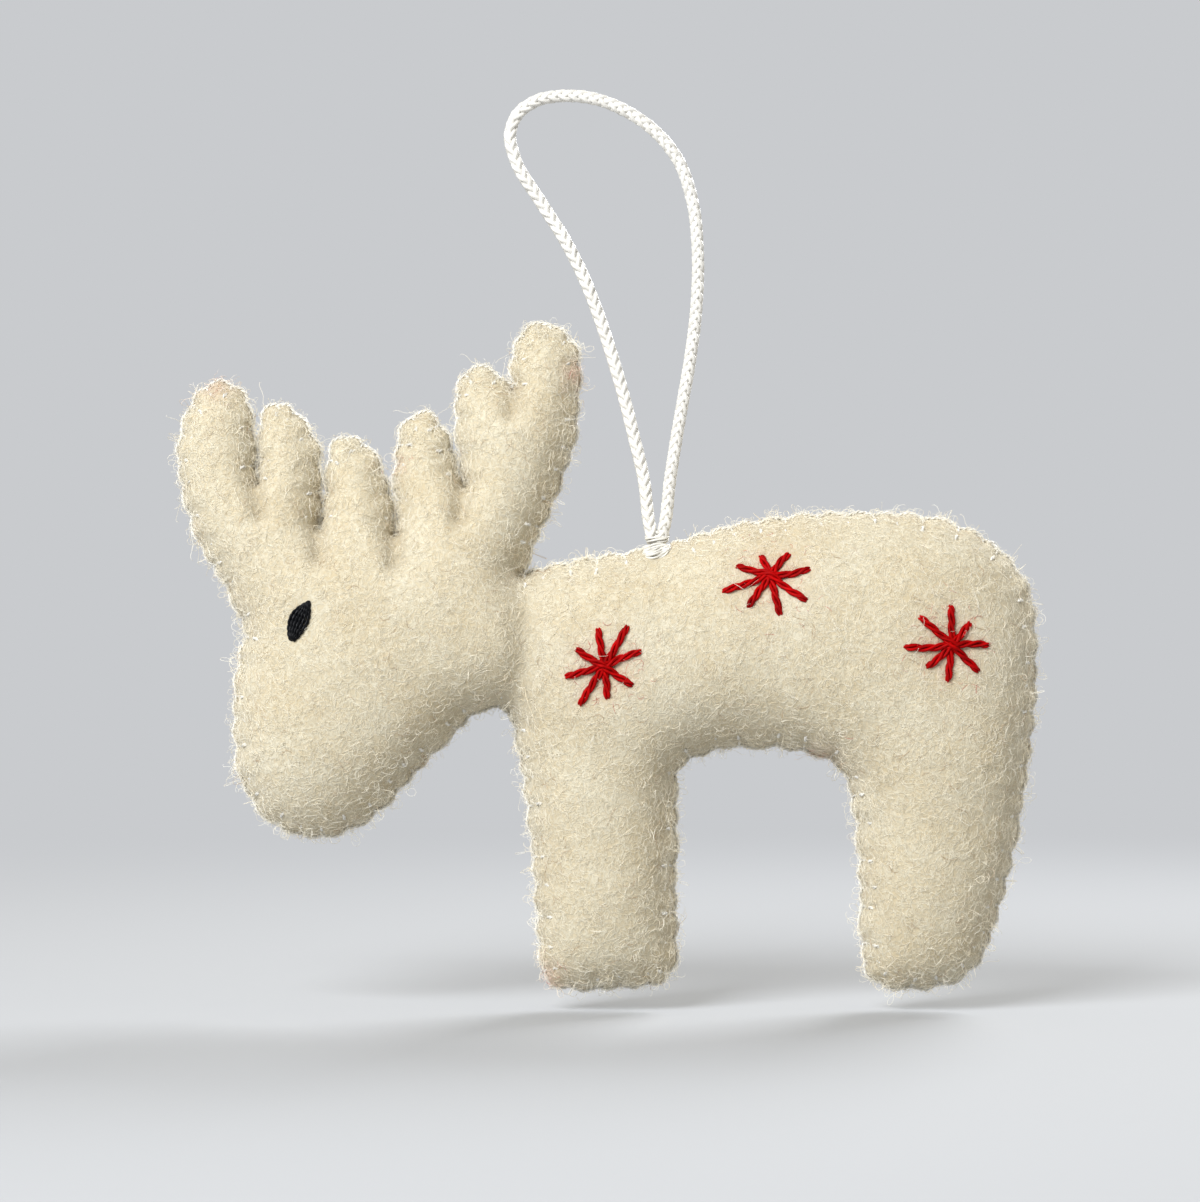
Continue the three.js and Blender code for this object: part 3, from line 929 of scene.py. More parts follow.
@dataclass
class FeltPanel:
    """One face of the elk: a panel of wool felt, domed by the filling."""

    face: Face
    pattern: Pattern
    thickness: float = 1.2 * MM
    seam: float = 0.05 * MM
    lining: float = 0.02 * MM
    lump: float = 0.28 * MM
    lump_size: float = 9.0 * MM
    lump_shift: float = 3.3
    ripple: float = 0.07 * MM
    ripple_size: float = 2.6 * MM
    uneven_above: float = 4.0 * MM
    stitch_inset: float = 1.2 * MM
    stitch_dent: float = 0.3 * MM
    stitch_dent_width: float = 0.9 * MM
    star_dent: float = 0.45 * MM
    star_dent_width: float = 3.6 * MM
    eye_dent: float = 0.3 * MM
    eye_dent_width: float = 2.4 * MM
    # The most that the painted shade in the creases may darken the felt.
    most_crease_shade: float = 0.5
    outside: float = 50.0 * MM
    swell_take_up: float = 1.12
    stretch: float = 1.08
    most_cut: float = 0.95

    @cached_property
    def points(self) -> np.ndarray:
        """The outer surface, point by point as in the pattern's mesh."""
        places, _ = self.pattern.weave
        height = self.pattern.heights.copy()
        for crease in CREASES:
            height *= 1 - crease.pressed(places)
        for star in STARS:
            away = np.linalg.norm(places - np.array(star.middle) * MM, axis=1)
            height -= self.star_dent * bell(away, self.star_dent_width)
        away = np.linalg.norm(places - np.array(Eye.middle()), axis=1)
        height -= self.eye_dent * bell(away, self.eye_dent_width)
        sewn = self.pattern.stitches % len(self.pattern.edge)
        holes = self.pattern.edge[sewn] - self.pattern.outward[sewn] * self.stitch_inset
        height -= self.stitch_dent * bell(to_nearest(places, holes), self.stitch_dent_width)
        side = self.face.value
        full = np.clip(self.pattern.heights / self.uneven_above, 0, 1)
        for size, depth in ((self.lump_size, self.lump), (self.ripple_size, self.ripple)):
            uneven = [noise.noise(Vector((x, side * size * self.lump_shift, z)) / size) for x, z in places]
            height += depth * np.array(uneven) * full
        height = np.maximum(height, 0)
        return np.column_stack((places[:, 0], side * (self.seam + height), places[:, 1]))

    @cached_property
    def triangles(self) -> np.ndarray:
        """The triangles of the outer surface, facing out."""
        _, triangles = self.pattern.weave
        first = self.points[triangles[0]]
        facing = np.cross(first[1] - first[0], first[2] - first[0])[1] * self.face.value
        return triangles if facing > 0 else triangles[:, ::-1]

    @cached_property
    def rim(self) -> list[tuple[int, int]]:
        """The sides of triangles along the rim of the felt, each as its two points."""
        sides = [(three[k - 1], three[k]) for three in self.triangles.tolist() for k in range(3)]
        known = set(sides)
        return [(a, b) for a, b in sides if (b, a) not in known]

    @cached_property
    def outward(self) -> np.ndarray:
        """The direction out of each triangle, as long as twice its area."""
        corner = self.points[self.triangles]
        return np.cross(corner[:, 1] - corner[:, 0], corner[:, 2] - corner[:, 0])

    @cached_property
    def normals(self) -> np.ndarray:
        """The direction out of the felt at each point."""
        total = np.zeros_like(self.points)
        for k in range(3):
            np.add.at(total, self.triangles[:, k], self.outward)
        return unit(total)

    @cached_property
    def tree(self) -> BVHTree:
        """The outer surface, to be searched."""
        return BVHTree.FromPolygons(self.points.tolist(), self.triangles.tolist())

    def at(self, x: float, z: float) -> tuple[np.ndarray, np.ndarray]:
        """Find the felt at a place of the figure.

        Args:
            x: the place along X.
            z: the place along Z.

        Returns:
            The point on the outer surface and the direction out of it.
        """
        side = self.face.value
        start = Vector((x, side * self.outside, z))
        point, normal, _, _ = self.tree.ray_cast(start, Vector((0, -side, 0)))
        if point is None:
            point, normal, _, _ = self.tree.find_nearest(Vector((x, 0, z)))
        return np.array(point), np.array(normal)

    def under(self, places: np.ndarray) -> tuple[np.ndarray, np.ndarray]:
        """Find the felt under many places.

        Args:
            places: x and z of each place, one a row.

        Returns:
            The points on the outer surface and the directions out of it, one a row.
        """
        points, normals = zip(*(self.at(x, z) for x, z in places))
        return np.array(points), np.array(normals)

    @cached_property
    def area(self) -> float:
        """The area of the felt, as it is stretched over the filling."""
        return float(np.linalg.norm(self.outward, axis=1).sum() / 2)

    def declare(self, piece: bpy.types.Object, wads: Sequence[str]) -> None:
        """Work out the felt cut for the panel from its stretched area and outline; the result is not used.

        Args:
            piece: the panel's piece; not used.
            wads: the names of the wads under it; not used.
        """
        width, length = np.ptp(self.pattern.edge, axis=0) * self.swell_take_up
        cut = min(self.area / self.stretch, self.most_cut * width * length)

    def build(self, material: bpy.types.Material) -> bpy.types.Object:
        """Make the panel with its thickness, and dress it.

        Args:
            material: the felt.

        Returns:
            The piece.
        """
        shape = bmesh.new()
        inside = self.points.copy()
        inside[:, 1] = self.face.value * np.maximum(np.abs(inside[:, 1]) - self.thickness, self.lining)
        outer = [shape.verts.new(point) for point in self.points]
        inner = [shape.verts.new(point) for point in inside]
        for layer in (outer, inner):
            for corners in self.triangles.tolist():
                shape.faces.new([layer[k] for k in corners])
        for a, b in self.rim:
            shape.faces.new((outer[a], inner[a], inner[b], outer[b]))
        loose = [corner for corner in shape.verts if not corner.link_faces]
        bmesh.ops.delete(shape, geom=loose, context="VERTS")
        bmesh.ops.recalc_face_normals(shape, faces=shape.faces)
        side = self.face.name.lower()
        piece = finished(shape, f"felt_{side}")
        spots = np.array([(vertex.co.x, vertex.co.z) for vertex in piece.data.vertices])
        # Painted shade: how far each point's colour is darkened in the creases.
        crease_shade = np.clip(sum(crease.pressed(spots) for crease in CREASES), 0, self.most_crease_shade)
        for name, values in (("blush", blush_at(spots)), ("crease", crease_shade)):
            piece.data.attributes.new(name, "FLOAT", "POINT").data.foreach_set("value", values)
        dress(piece, material, "elk")
        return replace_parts(piece, f"{side}_felt_panel")


@dataclass(frozen=True)
class Curl:
    """The bend of a fibre in degrees: its heading at the root, how it turns and wavers, and how it stands."""

    start: float
    turn: float
    waver: float
    stand: float
    samples: ClassVar[int] = 40

    def path(self, joints: int) -> np.ndarray:
        """Return the fibre's line from its root, one unit long, with Z away from the felt."""
        t = np.linspace(0, 1, self.samples)
        heading = np.radians(self.start + self.turn * t + self.waver * np.sin(2 * math.pi * t))
        across = np.cumsum(np.cos(heading)) / len(t)
        rise = np.cumsum(np.sin(heading)) / len(t)
        lean = math.radians(self.stand)
        line = np.column_stack((across, rise * math.cos(lean), np.abs(rise) * math.sin(lean)))
        return even_line(line - line[0], 1.0 / (joints - 1))[:joints]


@dataclass(frozen=True)
class FibreShape:
    """A fibre modelled once, to be laid many times: three sides, pointed ends."""

    curl: Curl
    joints: int
    girth: float

    def made(self) -> tuple[np.ndarray, np.ndarray]:
        """Model the fibre.

        Returns:
            Its points, one unit long, and its triangles.
        """
        path = self.curl.path(self.joints)
        ahead = unit(np.gradient(path, axis=0))
        shape = bmesh.new()
        rings = []
        for point, way in zip(path, ahead):
            turn = Vector(way).to_track_quat("Z", "Y").to_matrix().to_4x4()
            place = Matrix.Translation(point) @ turn
            ring = bmesh.ops.create_circle(shape, segments=3, radius=self.girth, matrix=place)
            rings.append(ring["verts"])
        edges = [{edge for vertex in ring for edge in vertex.link_edges} for ring in rings]
        for first, second in zip(edges, edges[1:]):
            bmesh.ops.bridge_loops(shape, edges=[*first, *second])
        for k in (0, -1):
            bmesh.ops.pointmerge(shape, verts=rings[k], merge_co=path[k])
        bmesh.ops.triangulate(shape, faces=shape.faces)
        bmesh.ops.recalc_face_normals(shape, faces=shape.faces)
        shape.verts.index_update()
        points = np.array([vertex.co for vertex in shape.verts])
        triangles = np.array([[vertex.index for vertex in face.verts] for face in shape.faces])
        shape.free()
        return points, triangles


@dataclass(frozen=True)
class Coat:
    """One kind of fibre on the felt: its shapes, its lengths and how many lie on a face."""

    kind: FibreKind
    curls: tuple[Curl, ...]
    joints: int
    girth: float
    lengths: tuple[float, float]
    pieces: int
    fibres: int
    sunk: float
    seam_bias: float = 0.0


COATS = (
    Coat(
        FibreKind.LYING,
        (Curl(-30, 60, 8, 5), Curl(-55, 110, 10, 5), Curl(-80, 160, 0, 5), Curl(20, -40, 30, 4),
         Curl(70, -140, 12, 5), Curl(100, -200, 0, 6)),
        joints=5, girth=0.02 * MM, lengths=(1.3 * MM, 3.1 * MM), pieces=2, fibres=10900, sunk=0.01 * MM,
    ),
    Coat(
        FibreKind.LOOP,
        (Curl(75, -150, 0, 60), Curl(60, -170, 20, 75), Curl(85, -230, 0, 45), Curl(50, -120, 30, 85),
         Curl(95, -270, 10, 65), Curl(40, -100, 0, 40)),
        joints=6, girth=0.018 * MM, lengths=(1.4 * MM, 3.6 * MM), pieces=1, fibres=8200, sunk=0.06 * MM,
        seam_bias=3.0,
    ),
    Coat(
        FibreKind.STRAY,
        (Curl(85, -260, 20, 80), Curl(70, 190, 60, 75), Curl(95, -360, 10, 70), Curl(50, 240, -40, 65),
         Curl(80, -190, 70, 85), Curl(110, -420, 0, 60)),
        joints=10, girth=0.019 * MM, lengths=(1.8 * MM, 6.0 * MM), pieces=1, fibres=3000, sunk=0.06 * MM,
        seam_bias=7.0,
    ),
    Coat(
        FibreKind.LONG,
        (Curl(85, -330, 40, 82), Curl(60, 250, 50, 78), Curl(90, -220, 80, 80), Curl(75, 420, 0, 70)),
        joints=14, girth=0.022 * MM, lengths=(4.5 * MM, 9.0 * MM), pieces=1, fibres=110, sunk=0.06 * MM,
        seam_bias=12.0,
    ),
)
LINT = replace(COATS[0], girth=0.018 * MM, lengths=(0.9 * MM, 2.2 * MM), sunk=0.0)


@dataclass
class Nap:
    """The fibres that stand on a felt panel."""

    panel: FeltPanel
    seed: int
    foot_gap: float = 2.4 * MM
    seam_width: float = 2.2 * MM
    floss_width: float = 1.1 * MM
    floss_clear: float = 0.95
    length_spread: Place = (1.3, 2.2)
    tone_spread: Place = (2.2, 1.6)
    tan_share: float = 0.03
    tan_depth: Place = (0.4, 1.0)
    most_blush: float = 0.8
    blush_spread: float = 2.4
    map_square: Line = ((0.1, 0.1), (0.9, 0.1), (0.5, 0.9))
    lint_seed: int = 100
    lint_per_star: int = 80
    lint_per_stain: int = 5
    lint_spread: float = 2.6 * MM

    ANY_WAY: ClassVar[tuple[float, float, float]] = (0.31, 0.52, 0.79)

    def spots(self, coat: Coat, rng: np.random.Generator) -> tuple[np.ndarray, np.ndarray]:
        """Choose places on the felt: more by the seam, fewer on the floss, none at the foot of the cord.

        Args:
            coat: the kind of fibre.
            rng: the source of chance.

        Returns:
            The points and the directions out of the felt there.
        """
        corner = self.panel.points[self.panel.triangles]
        areas = np.linalg.norm(self.panel.outward, axis=1)
        to_seam = np.abs(corner[:, :, 1].mean(axis=1))
        areas *= 1 + coat.seam_bias * bell(to_seam, self.seam_width)
        chosen = rng.choice(len(areas), coat.fibres, p=areas / areas.sum())
        shares = rng.dirichlet((1, 1, 1), coat.fibres)[:, :, None]
        normals = unit((self.panel.normals[self.panel.triangles[chosen]] * shares).sum(axis=1))
        points = (corner[chosen] * shares).sum(axis=1)
        places = points[:, [0, 2]]
        to_floss = np.min([*(star.away(places) for star in STARS), Eye.away(places)], axis=0)
        clear = rng.random(coat.fibres) > self.floss_clear * bell(to_floss, self.floss_width)
        clear &= np.linalg.norm(places - np.array(CORD_FOOT), axis=1) > self.foot_gap
        return points[clear], normals[clear]

    def lay(
        self, name: str, coat: Coat, points: np.ndarray, normals: np.ndarray, rng: np.random.Generator
    ) -> bpy.types.Object:
        """Lay fibres on the felt as one piece.

        Args:
            name: the piece's name.
            coat: the kind of fibre.
            points: where each is rooted.
            normals: the direction out of the felt at each root.
            rng: the source of chance.

        Returns:
            The piece.
        """
        count = len(points)
        turn = rng.uniform(0, 2 * math.pi, count)[:, None]
        flat = unit(np.cross(normals, self.ANY_WAY))
        ahead = flat * np.cos(turn) + np.cross(normals, flat) * np.sin(turn)
        beside = np.cross(normals, ahead) * rng.choice((-1, 1), count)[:, None]
        short, long = coat.lengths
        lengths = short + (long - short) * rng.beta(*self.length_spread, count)
        typical = sum(coat.lengths) / 2
        kinds = rng.integers(0, len(coat.curls), count)
        vertices, corners, owners = [], [], []
        start = 0
        for k, curl in enumerate(coat.curls):
            mine = np.flatnonzero(kinds == k)
            shape, triangles = FibreShape(curl, coat.joints, coat.girth / typical).made()
            local = shape[None, :, :] * lengths[mine][:, None, None]
            placed = points[mine][:, None, :] + local[:, :, :1] * ahead[mine][:, None, :]
            placed = placed + local[:, :, 1:2] * beside[mine][:, None, :]
            placed = placed + (local[:, :, 2:] - coat.sunk) * normals[mine][:, None, :]
            mirrored = np.einsum("ij,ij->i", np.cross(ahead[mine], beside[mine]), normals[mine]) < 0
            faces = np.where(mirrored[:, None, None], triangles[None, :, ::-1], triangles[None])
            faces = faces + start + (np.arange(len(mine)) * len(shape))[:, None, None]
            vertices.append(placed.reshape(-1, 3))
            corners.append(faces.reshape(-1, 3))
            owners.append(np.repeat(mine, len(shape)))
            start += len(mine) * len(shape)
        owner = np.concatenate(owners)
        piece = self._mesh(name, np.concatenate(vertices), np.concatenate(corners), owner)
        tone = rng.beta(*self.tone_spread, count)
        tan = np.where(rng.random(count) < self.tan_share, rng.uniform(*self.tan_depth, count), 0.0)
        blush = blush_at(points[:, [0, 2]]) * rng.uniform(0, self.blush_spread, count)
        blush = np.clip(blush, 0, self.most_blush)
        for label, values in (("tone", tone), ("tan", tan), ("blush", blush)):
            data = piece.data.attributes.new(label, "FLOAT", "POINT").data
            data.foreach_set("value", values[owner].astype(np.float32))
        return piece

    def _mesh(
        self, name: str, vertices: np.ndarray, corners: np.ndarray, owner: np.ndarray
    ) -> bpy.types.Object:
        """Join many fibres into one mesh, each with its own square of the piece's map.

        Args:
            name: the piece's name.
            vertices: all points.
            corners: all triangles.
            owner: the number of the fibre that each point belongs to.

        Returns:
            The piece.
        """
        mesh = bpy.data.meshes.new(name)
        mesh.vertices.add(len(vertices))
        mesh.vertices.foreach_set("co", vertices.astype(np.float32).ravel())
        mesh.loops.add(corners.size)
        mesh.loops.foreach_set("vertex_index", corners.astype(np.int32).ravel())
        mesh.polygons.add(len(corners))
        mesh.polygons.foreach_set("loop_start", np.arange(0, corners.size, 3, dtype=np.int32))
        mesh.update(calc_edges=True)
        side = math.ceil(math.sqrt(owner.max() + 1))
        fibre = owner[corners.ravel()]
        within = np.tile(self.map_square, (len(corners), 1))
        places = (np.column_stack((fibre % side, fibre // side)) + within) / side
        mesh.uv_layers.new(name=BAKE_MAP).data.foreach_set("uv", places.astype(np.float32).ravel())
        return add_object(name, mesh)

    def build(self, wool: bpy.types.Material) -> None:
        """Lay all the coats of fibre on the panel.

        Args:
            wool: the fibres' finish.
        """
        rng = np.random.default_rng(self.seed)
        side = self.panel.face.name.lower()
        for coat in COATS:
            for k in range(coat.pieces):
                name = f"{coat.kind.value}_fibres_{side}_{k + 1}"
                points, normals = self.spots(coat, rng)
                piece = self.lay(name, coat, points, normals, rng)
                dress(piece, wool, "elk")

    def build_lint(self, lint: bpy.types.Material) -> None:
        """Leave a little red lint round each star and on the stains.

        Args:
            lint: the lint's finish.
        """
        rng = np.random.default_rng(self.seed + self.lint_seed)
        groups = []
        for marks, each, spread in (
            (STARS, self.lint_per_star, self.lint_spread),
            (STAINS, self.lint_per_stain, self.lint_spread / 2),
        ):
            middles = np.repeat([mark.middle for mark in marks], each, axis=0) * MM
            groups.append(middles + rng.normal(0, spread, middles.shape))
        points, normals = self.panel.under(np.vstack(groups))
        piece = self.lay(f"red_lint_{self.panel.face.name.lower()}", LINT, points, normals, rng)
        dress(piece, lint, "elk")


@dataclass
class EdgeStitching:
    """The white blanket stitch that closes the seam."""

    pattern: Pattern
    panels: tuple[FeltPanel, FeltPanel]
    ply: float = 0.14 * MM
    ply_count: int = 2
    spread: float = 0.12 * MM
    pitch: float = 1.5 * MM
    step: float = 0.25 * MM
    proud: float = 0.17 * MM
    slant: float = 0.3
    depths: Place = (0.8 * MM, 1.6 * MM)
    sinks: tuple[float, ...] = (0.05 * MM, 0.13 * MM, 0.22 * MM, 0.32 * MM)
    leg_lifts: Line = ((0.15, 0.04), (0.4, -0.2), (0.65, -0.06), (0.82, 0.2), (1.0, 0.14), (1.08, -0.5))
    leg_step: float = 0.3 * MM
    leg_seed: int = 5
    foot_width: float = 2.2 * MM
    foot_sink: float = 0.6 * MM

    @cached_property
    def to_foot(self) -> np.ndarray:
        """How far each edge point is from the foot of the cord."""
        return np.linalg.norm(self.pattern.edge - np.array(CORD_FOOT), axis=1)

    def edge_thread(self) -> list[np.ndarray]:
        """Return the plies along the edge, closed on themselves, that dip under the foot of the cord."""
        proud = self.proud - self.foot_sink * np.exp(-((self.to_foot / self.foot_width) ** 4))
        line = upright(self.pattern.edge + self.pattern.outward * proud[:, None])
        line = even_line(np.vstack((line, line[:1])), self.step)
        length = length_along(line)[-1]
        ahead = unit(np.roll(line[:-1], -1, axis=0) - np.roll(line[:-1], 1, axis=0))
        out = np.cross(ahead, ACROSS_SEAM)
        return plies(line[:-1], out, self.ply_count, self.spread, length / round(length / self.pitch))

    def legs(self, rng: np.random.Generator) -> list[np.ndarray]:
        """Return the plies of the stitches that go over the edge and into the felt."""
        lines = []
        shares, lifts = np.array(self.leg_lifts).T
        sewn = self.pattern.stitches % len(self.pattern.edge)
        sewn = sewn[self.to_foot[sewn] >= self.foot_width]
        for panel in self.panels:
            for edge, out in zip(self.pattern.edge[sewn], self.pattern.outward[sewn]):
                way = -out + rng.uniform(-self.slant, self.slant) * np.array((out[1], -out[0]))
                depth = rng.uniform(*self.depths)
                sunk = rng.choice(self.sinks)
                points, normals = panel.under(edge + np.outer(shares, way * depth))
                points += normals * (lifts * MM - sunk)[:, None]
                over_edge = upright((edge + out * self.proud)[None, :])
                path = smooth_line(np.vstack((over_edge, points)), self.leg_step)
                lines += plies(path, normals[2], self.ply_count, self.spread, self.pitch)
        return lines

    def build(self, thread: bpy.types.Material) -> None:
        """Sew the edge.

        Args:
            thread: the thread's finish.
        """
        along = strands("edge_thread", self.edge_thread(), self.ply, closed=True)
        dress(along, thread, "elk")
        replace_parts(along, "edge_stitching")
        legs = strands("edge_stitches", self.legs(np.random.default_rng(self.leg_seed)), self.ply)
        dress(legs, thread, "elk")


@dataclass
class StarStitches:
    """Red floss stitched into a star on one face."""

    panel: FeltPanel
    rng: np.random.Generator
    ply: float = 0.23 * MM
    spread: float = 0.3 * MM
    pitch: float = 5.2 * MM
    flat: float = 0.6
    strands: int = 3
    step: float = 0.14 * MM
    wobble: float = 0.09 * MM
    lift: float = 0.2 * MM
    layer: float = 0.2 * MM
    cross_width: float = 1.3 * MM
    dive: float = 0.4 * MM
    dive_width: float = 0.3 * MM
    gather: float = 0.5
    gather_width: float = 0.5 * MM
    evened: int = 7
    taper: float = 0.6

    def stitch(self, first: Place, middle: Place, last: Place, level: int) -> list[np.ndarray]:
        """Lay one long stitch over the felt.

        Args:
            first: where it comes out of the felt, in millimetres.
            middle: where it crosses the others.
            last: where it goes in.
            level: how many stitches it lies on at the middle.

        Returns:
            The middle lines of its plies.
        """
        ends = np.array((first, middle, last)) * MM
        bends = (ends[:-1] + ends[1:]) / 2 + self.rng.normal(0, self.wobble, (2, 2))
        line = smooth_line(np.array((ends[0], bends[0], ends[1], bends[1], ends[2])), self.step)
        along = length_along(line)
        to_end = np.minimum(along, along[-1] - along)
        to_middle = np.linalg.norm(line - np.array(middle) * MM, axis=1)
        lift = self.lift + self.layer * level * bell(to_middle, self.cross_width)
        lift -= (self.lift + self.dive) * bell(to_end, self.dive_width)
        points, normals = self.panel.under(line)
        mean = np.ones(self.evened) / self.evened
        normals = unit(np.array([np.convolve(axis, mean, "same") for axis in normals.T]).T)
        spread = self.spread * (1 - self.gather * bell(to_end, self.gather_width))
        path = points + normals * lift[:, None]
        return plies(path, normals, self.strands, spread[:, None], self.pitch, self.flat)

    def build(self, star: Star, floss: bpy.types.Material) -> bpy.types.Object:
        """Stitch a star.

        Args:
            star: the star's middle and tips.
            floss: the floss.

        Returns:
            The piece.
        """
        half = len(star.tips) // 2
        lines = []
        for k in range(half):
            lines += self.stitch(star.tips[k], star.middle, star.tips[k + half], k)
        side = self.panel.face.name.lower()
        piece = strands(f"floss_{side}_{star.name}", lines, self.ply, self.taper)
        dress(piece, floss, "elk")
        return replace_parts(piece, f"{side}_{star.name}")


@dataclass
class Eye:
    """A satin-stitched eye on one face: a leaf of dark floss."""

    panel: FeltPanel
    ply: float = 0.15 * MM
    twist: float = 0.1 * MM
    pitch: float = 1.5 * MM
    width: float = 2.75 * MM
    bow: float = 0.22 * MM
    base: float = 0.05 * MM
    rise: float = 0.42 * MM
    under_share: float = 0.5
    rounding: float = 0.8
    foot_power: float = 0.7
    power_gain: float = 0.6
    dive: float = 0.6 * MM
    dive_share: float = 0.035
    threads: int = 6
    samples: int = 48
    taper: float = 0.5

    TOP: ClassVar[Place] = (-32.75 * MM, -64.8 * MM)
    FOOT: ClassVar[Place] = (-35.15 * MM, -70.1 * MM)
    MARGIN: ClassVar[float] = 0.9 * MM

    @classmethod
    def middle(cls) -> Place:
        """Return the middle of the eye."""
        return ((cls.TOP[0] + cls.FOOT[0]) / 2, (cls.TOP[1] + cls.FOOT[1]) / 2)

    @classmethod
    def away(cls, places: np.ndarray) -> np.ndarray:
        """Return how far each place is from the eye's leaf."""
        return np.maximum(away_from(places, np.array(cls.TOP), np.array(cls.FOOT)) - cls.MARGIN, 0)

    def build(self, floss: bpy.types.Material) -> bpy.types.Object:
        """Stitch the eye.

        Args:
            floss: the floss.

        Returns:
            The piece.
        """
        top, foot = np.array(self.TOP), np.array(self.FOOT)
        way = (top - foot) / np.linalg.norm(top - foot)
        across = np.array((-way[1], way[0]))
        t = np.linspace(0, 1, self.samples)
        bulge = np.sin(math.pi * t)
        half = self.width / 2 - self.ply - self.twist
        dive = self.dive * (bell(t, self.dive_share) + bell(1 - t, self.dive_share))
        lines = []
        for layer, count in ((self.under_share, self.threads - 1), (1.0, self.threads)):
            for share in np.linspace(-1, 1, count):
                leaf = bulge ** (self.foot_power + self.power_gain * t) * half * share
                places = foot + np.outer(t, top - foot) + np.outer(leaf + self.bow * bulge, across)
                arch = math.sqrt(1 - self.rounding * share**2) * bulge**0.5
                lift = self.base + self.rise * layer * arch - dive
                points, normals = self.panel.under(places)
                lines += plies(points + normals * lift[:, None], normals, 2, self.twist, self.pitch)
        side = self.panel.face.name.lower()
        piece = strands(f"floss_{side}_eye", lines, self.ply, self.taper)
        dress(piece, floss, "elk")
        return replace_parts(piece, f"{side}_eye")


@dataclass
class Filling:
    """The wads of fibre inside the felt, one to a limb."""

    panels: tuple[FeltPanel, FeltPanel]
    nodes: dict[str, bpy.types.Object]
    voxel: float = 1.0 * MM
    smoothings: int = 4
    gap: float = 0.25 * MM
    least_room: float = 0.1 * MM
    lump: float = 0.3 * MM
    lump_size: float = 2.5 * MM
    drawn_in: float = 0.4

    def wad(self, node: str) -> bpy.types.Object:
        """Make the wad that fills one limb.

        Args:
            node: the name of the limb's solid.

        Returns:
            The wad.
        """
        limb = node.removesuffix("_stuffing")
        draft = bpy.data.objects.new(f"wad_{limb}_draft", self.nodes[node].data.copy())
        remesh = draft.modifiers.new("even", "REMESH")
        remesh.mode = "VOXEL"
        remesh.voxel_size = self.voxel
        shape = taken_from(draft)
        for _ in range(self.smoothings):
            bmesh.ops.smooth_vert(
                shape, verts=shape.verts, factor=0.5, use_axis_x=True, use_axis_y=True, use_axis_z=True
            )
        shape.normal_update()
        for vertex in shape.verts:
            lumpy = noise.noise(vertex.co / self.lump_size) - self.drawn_in
            vertex.co += vertex.normal * self.lump * lumpy
            panel = self.panels[0] if vertex.co.y < 0 else self.panels[1]
            felt, _ = panel.at(vertex.co.x, vertex.co.z)
            room = max(abs(felt[1]) - panel.thickness - self.gap, self.least_room)
            vertex.co.y = max(-room, min(room, vertex.co.y))
        return finished(shape, f"wad_{limb}")

    def build(self, filling: bpy.types.Material) -> list[str]:
        """Fill every limb.

        Args:
            filling: the wads' finish.

        Returns:
            The names of the wads.
        """
        names = []
        for node in sorted(name for name in self.nodes if name.endswith("_stuffing")):
            wad = self.wad(node)
            dress(wad, filling, "elk")
            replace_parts(wad, node)
            names.append(wad.name)
        return names


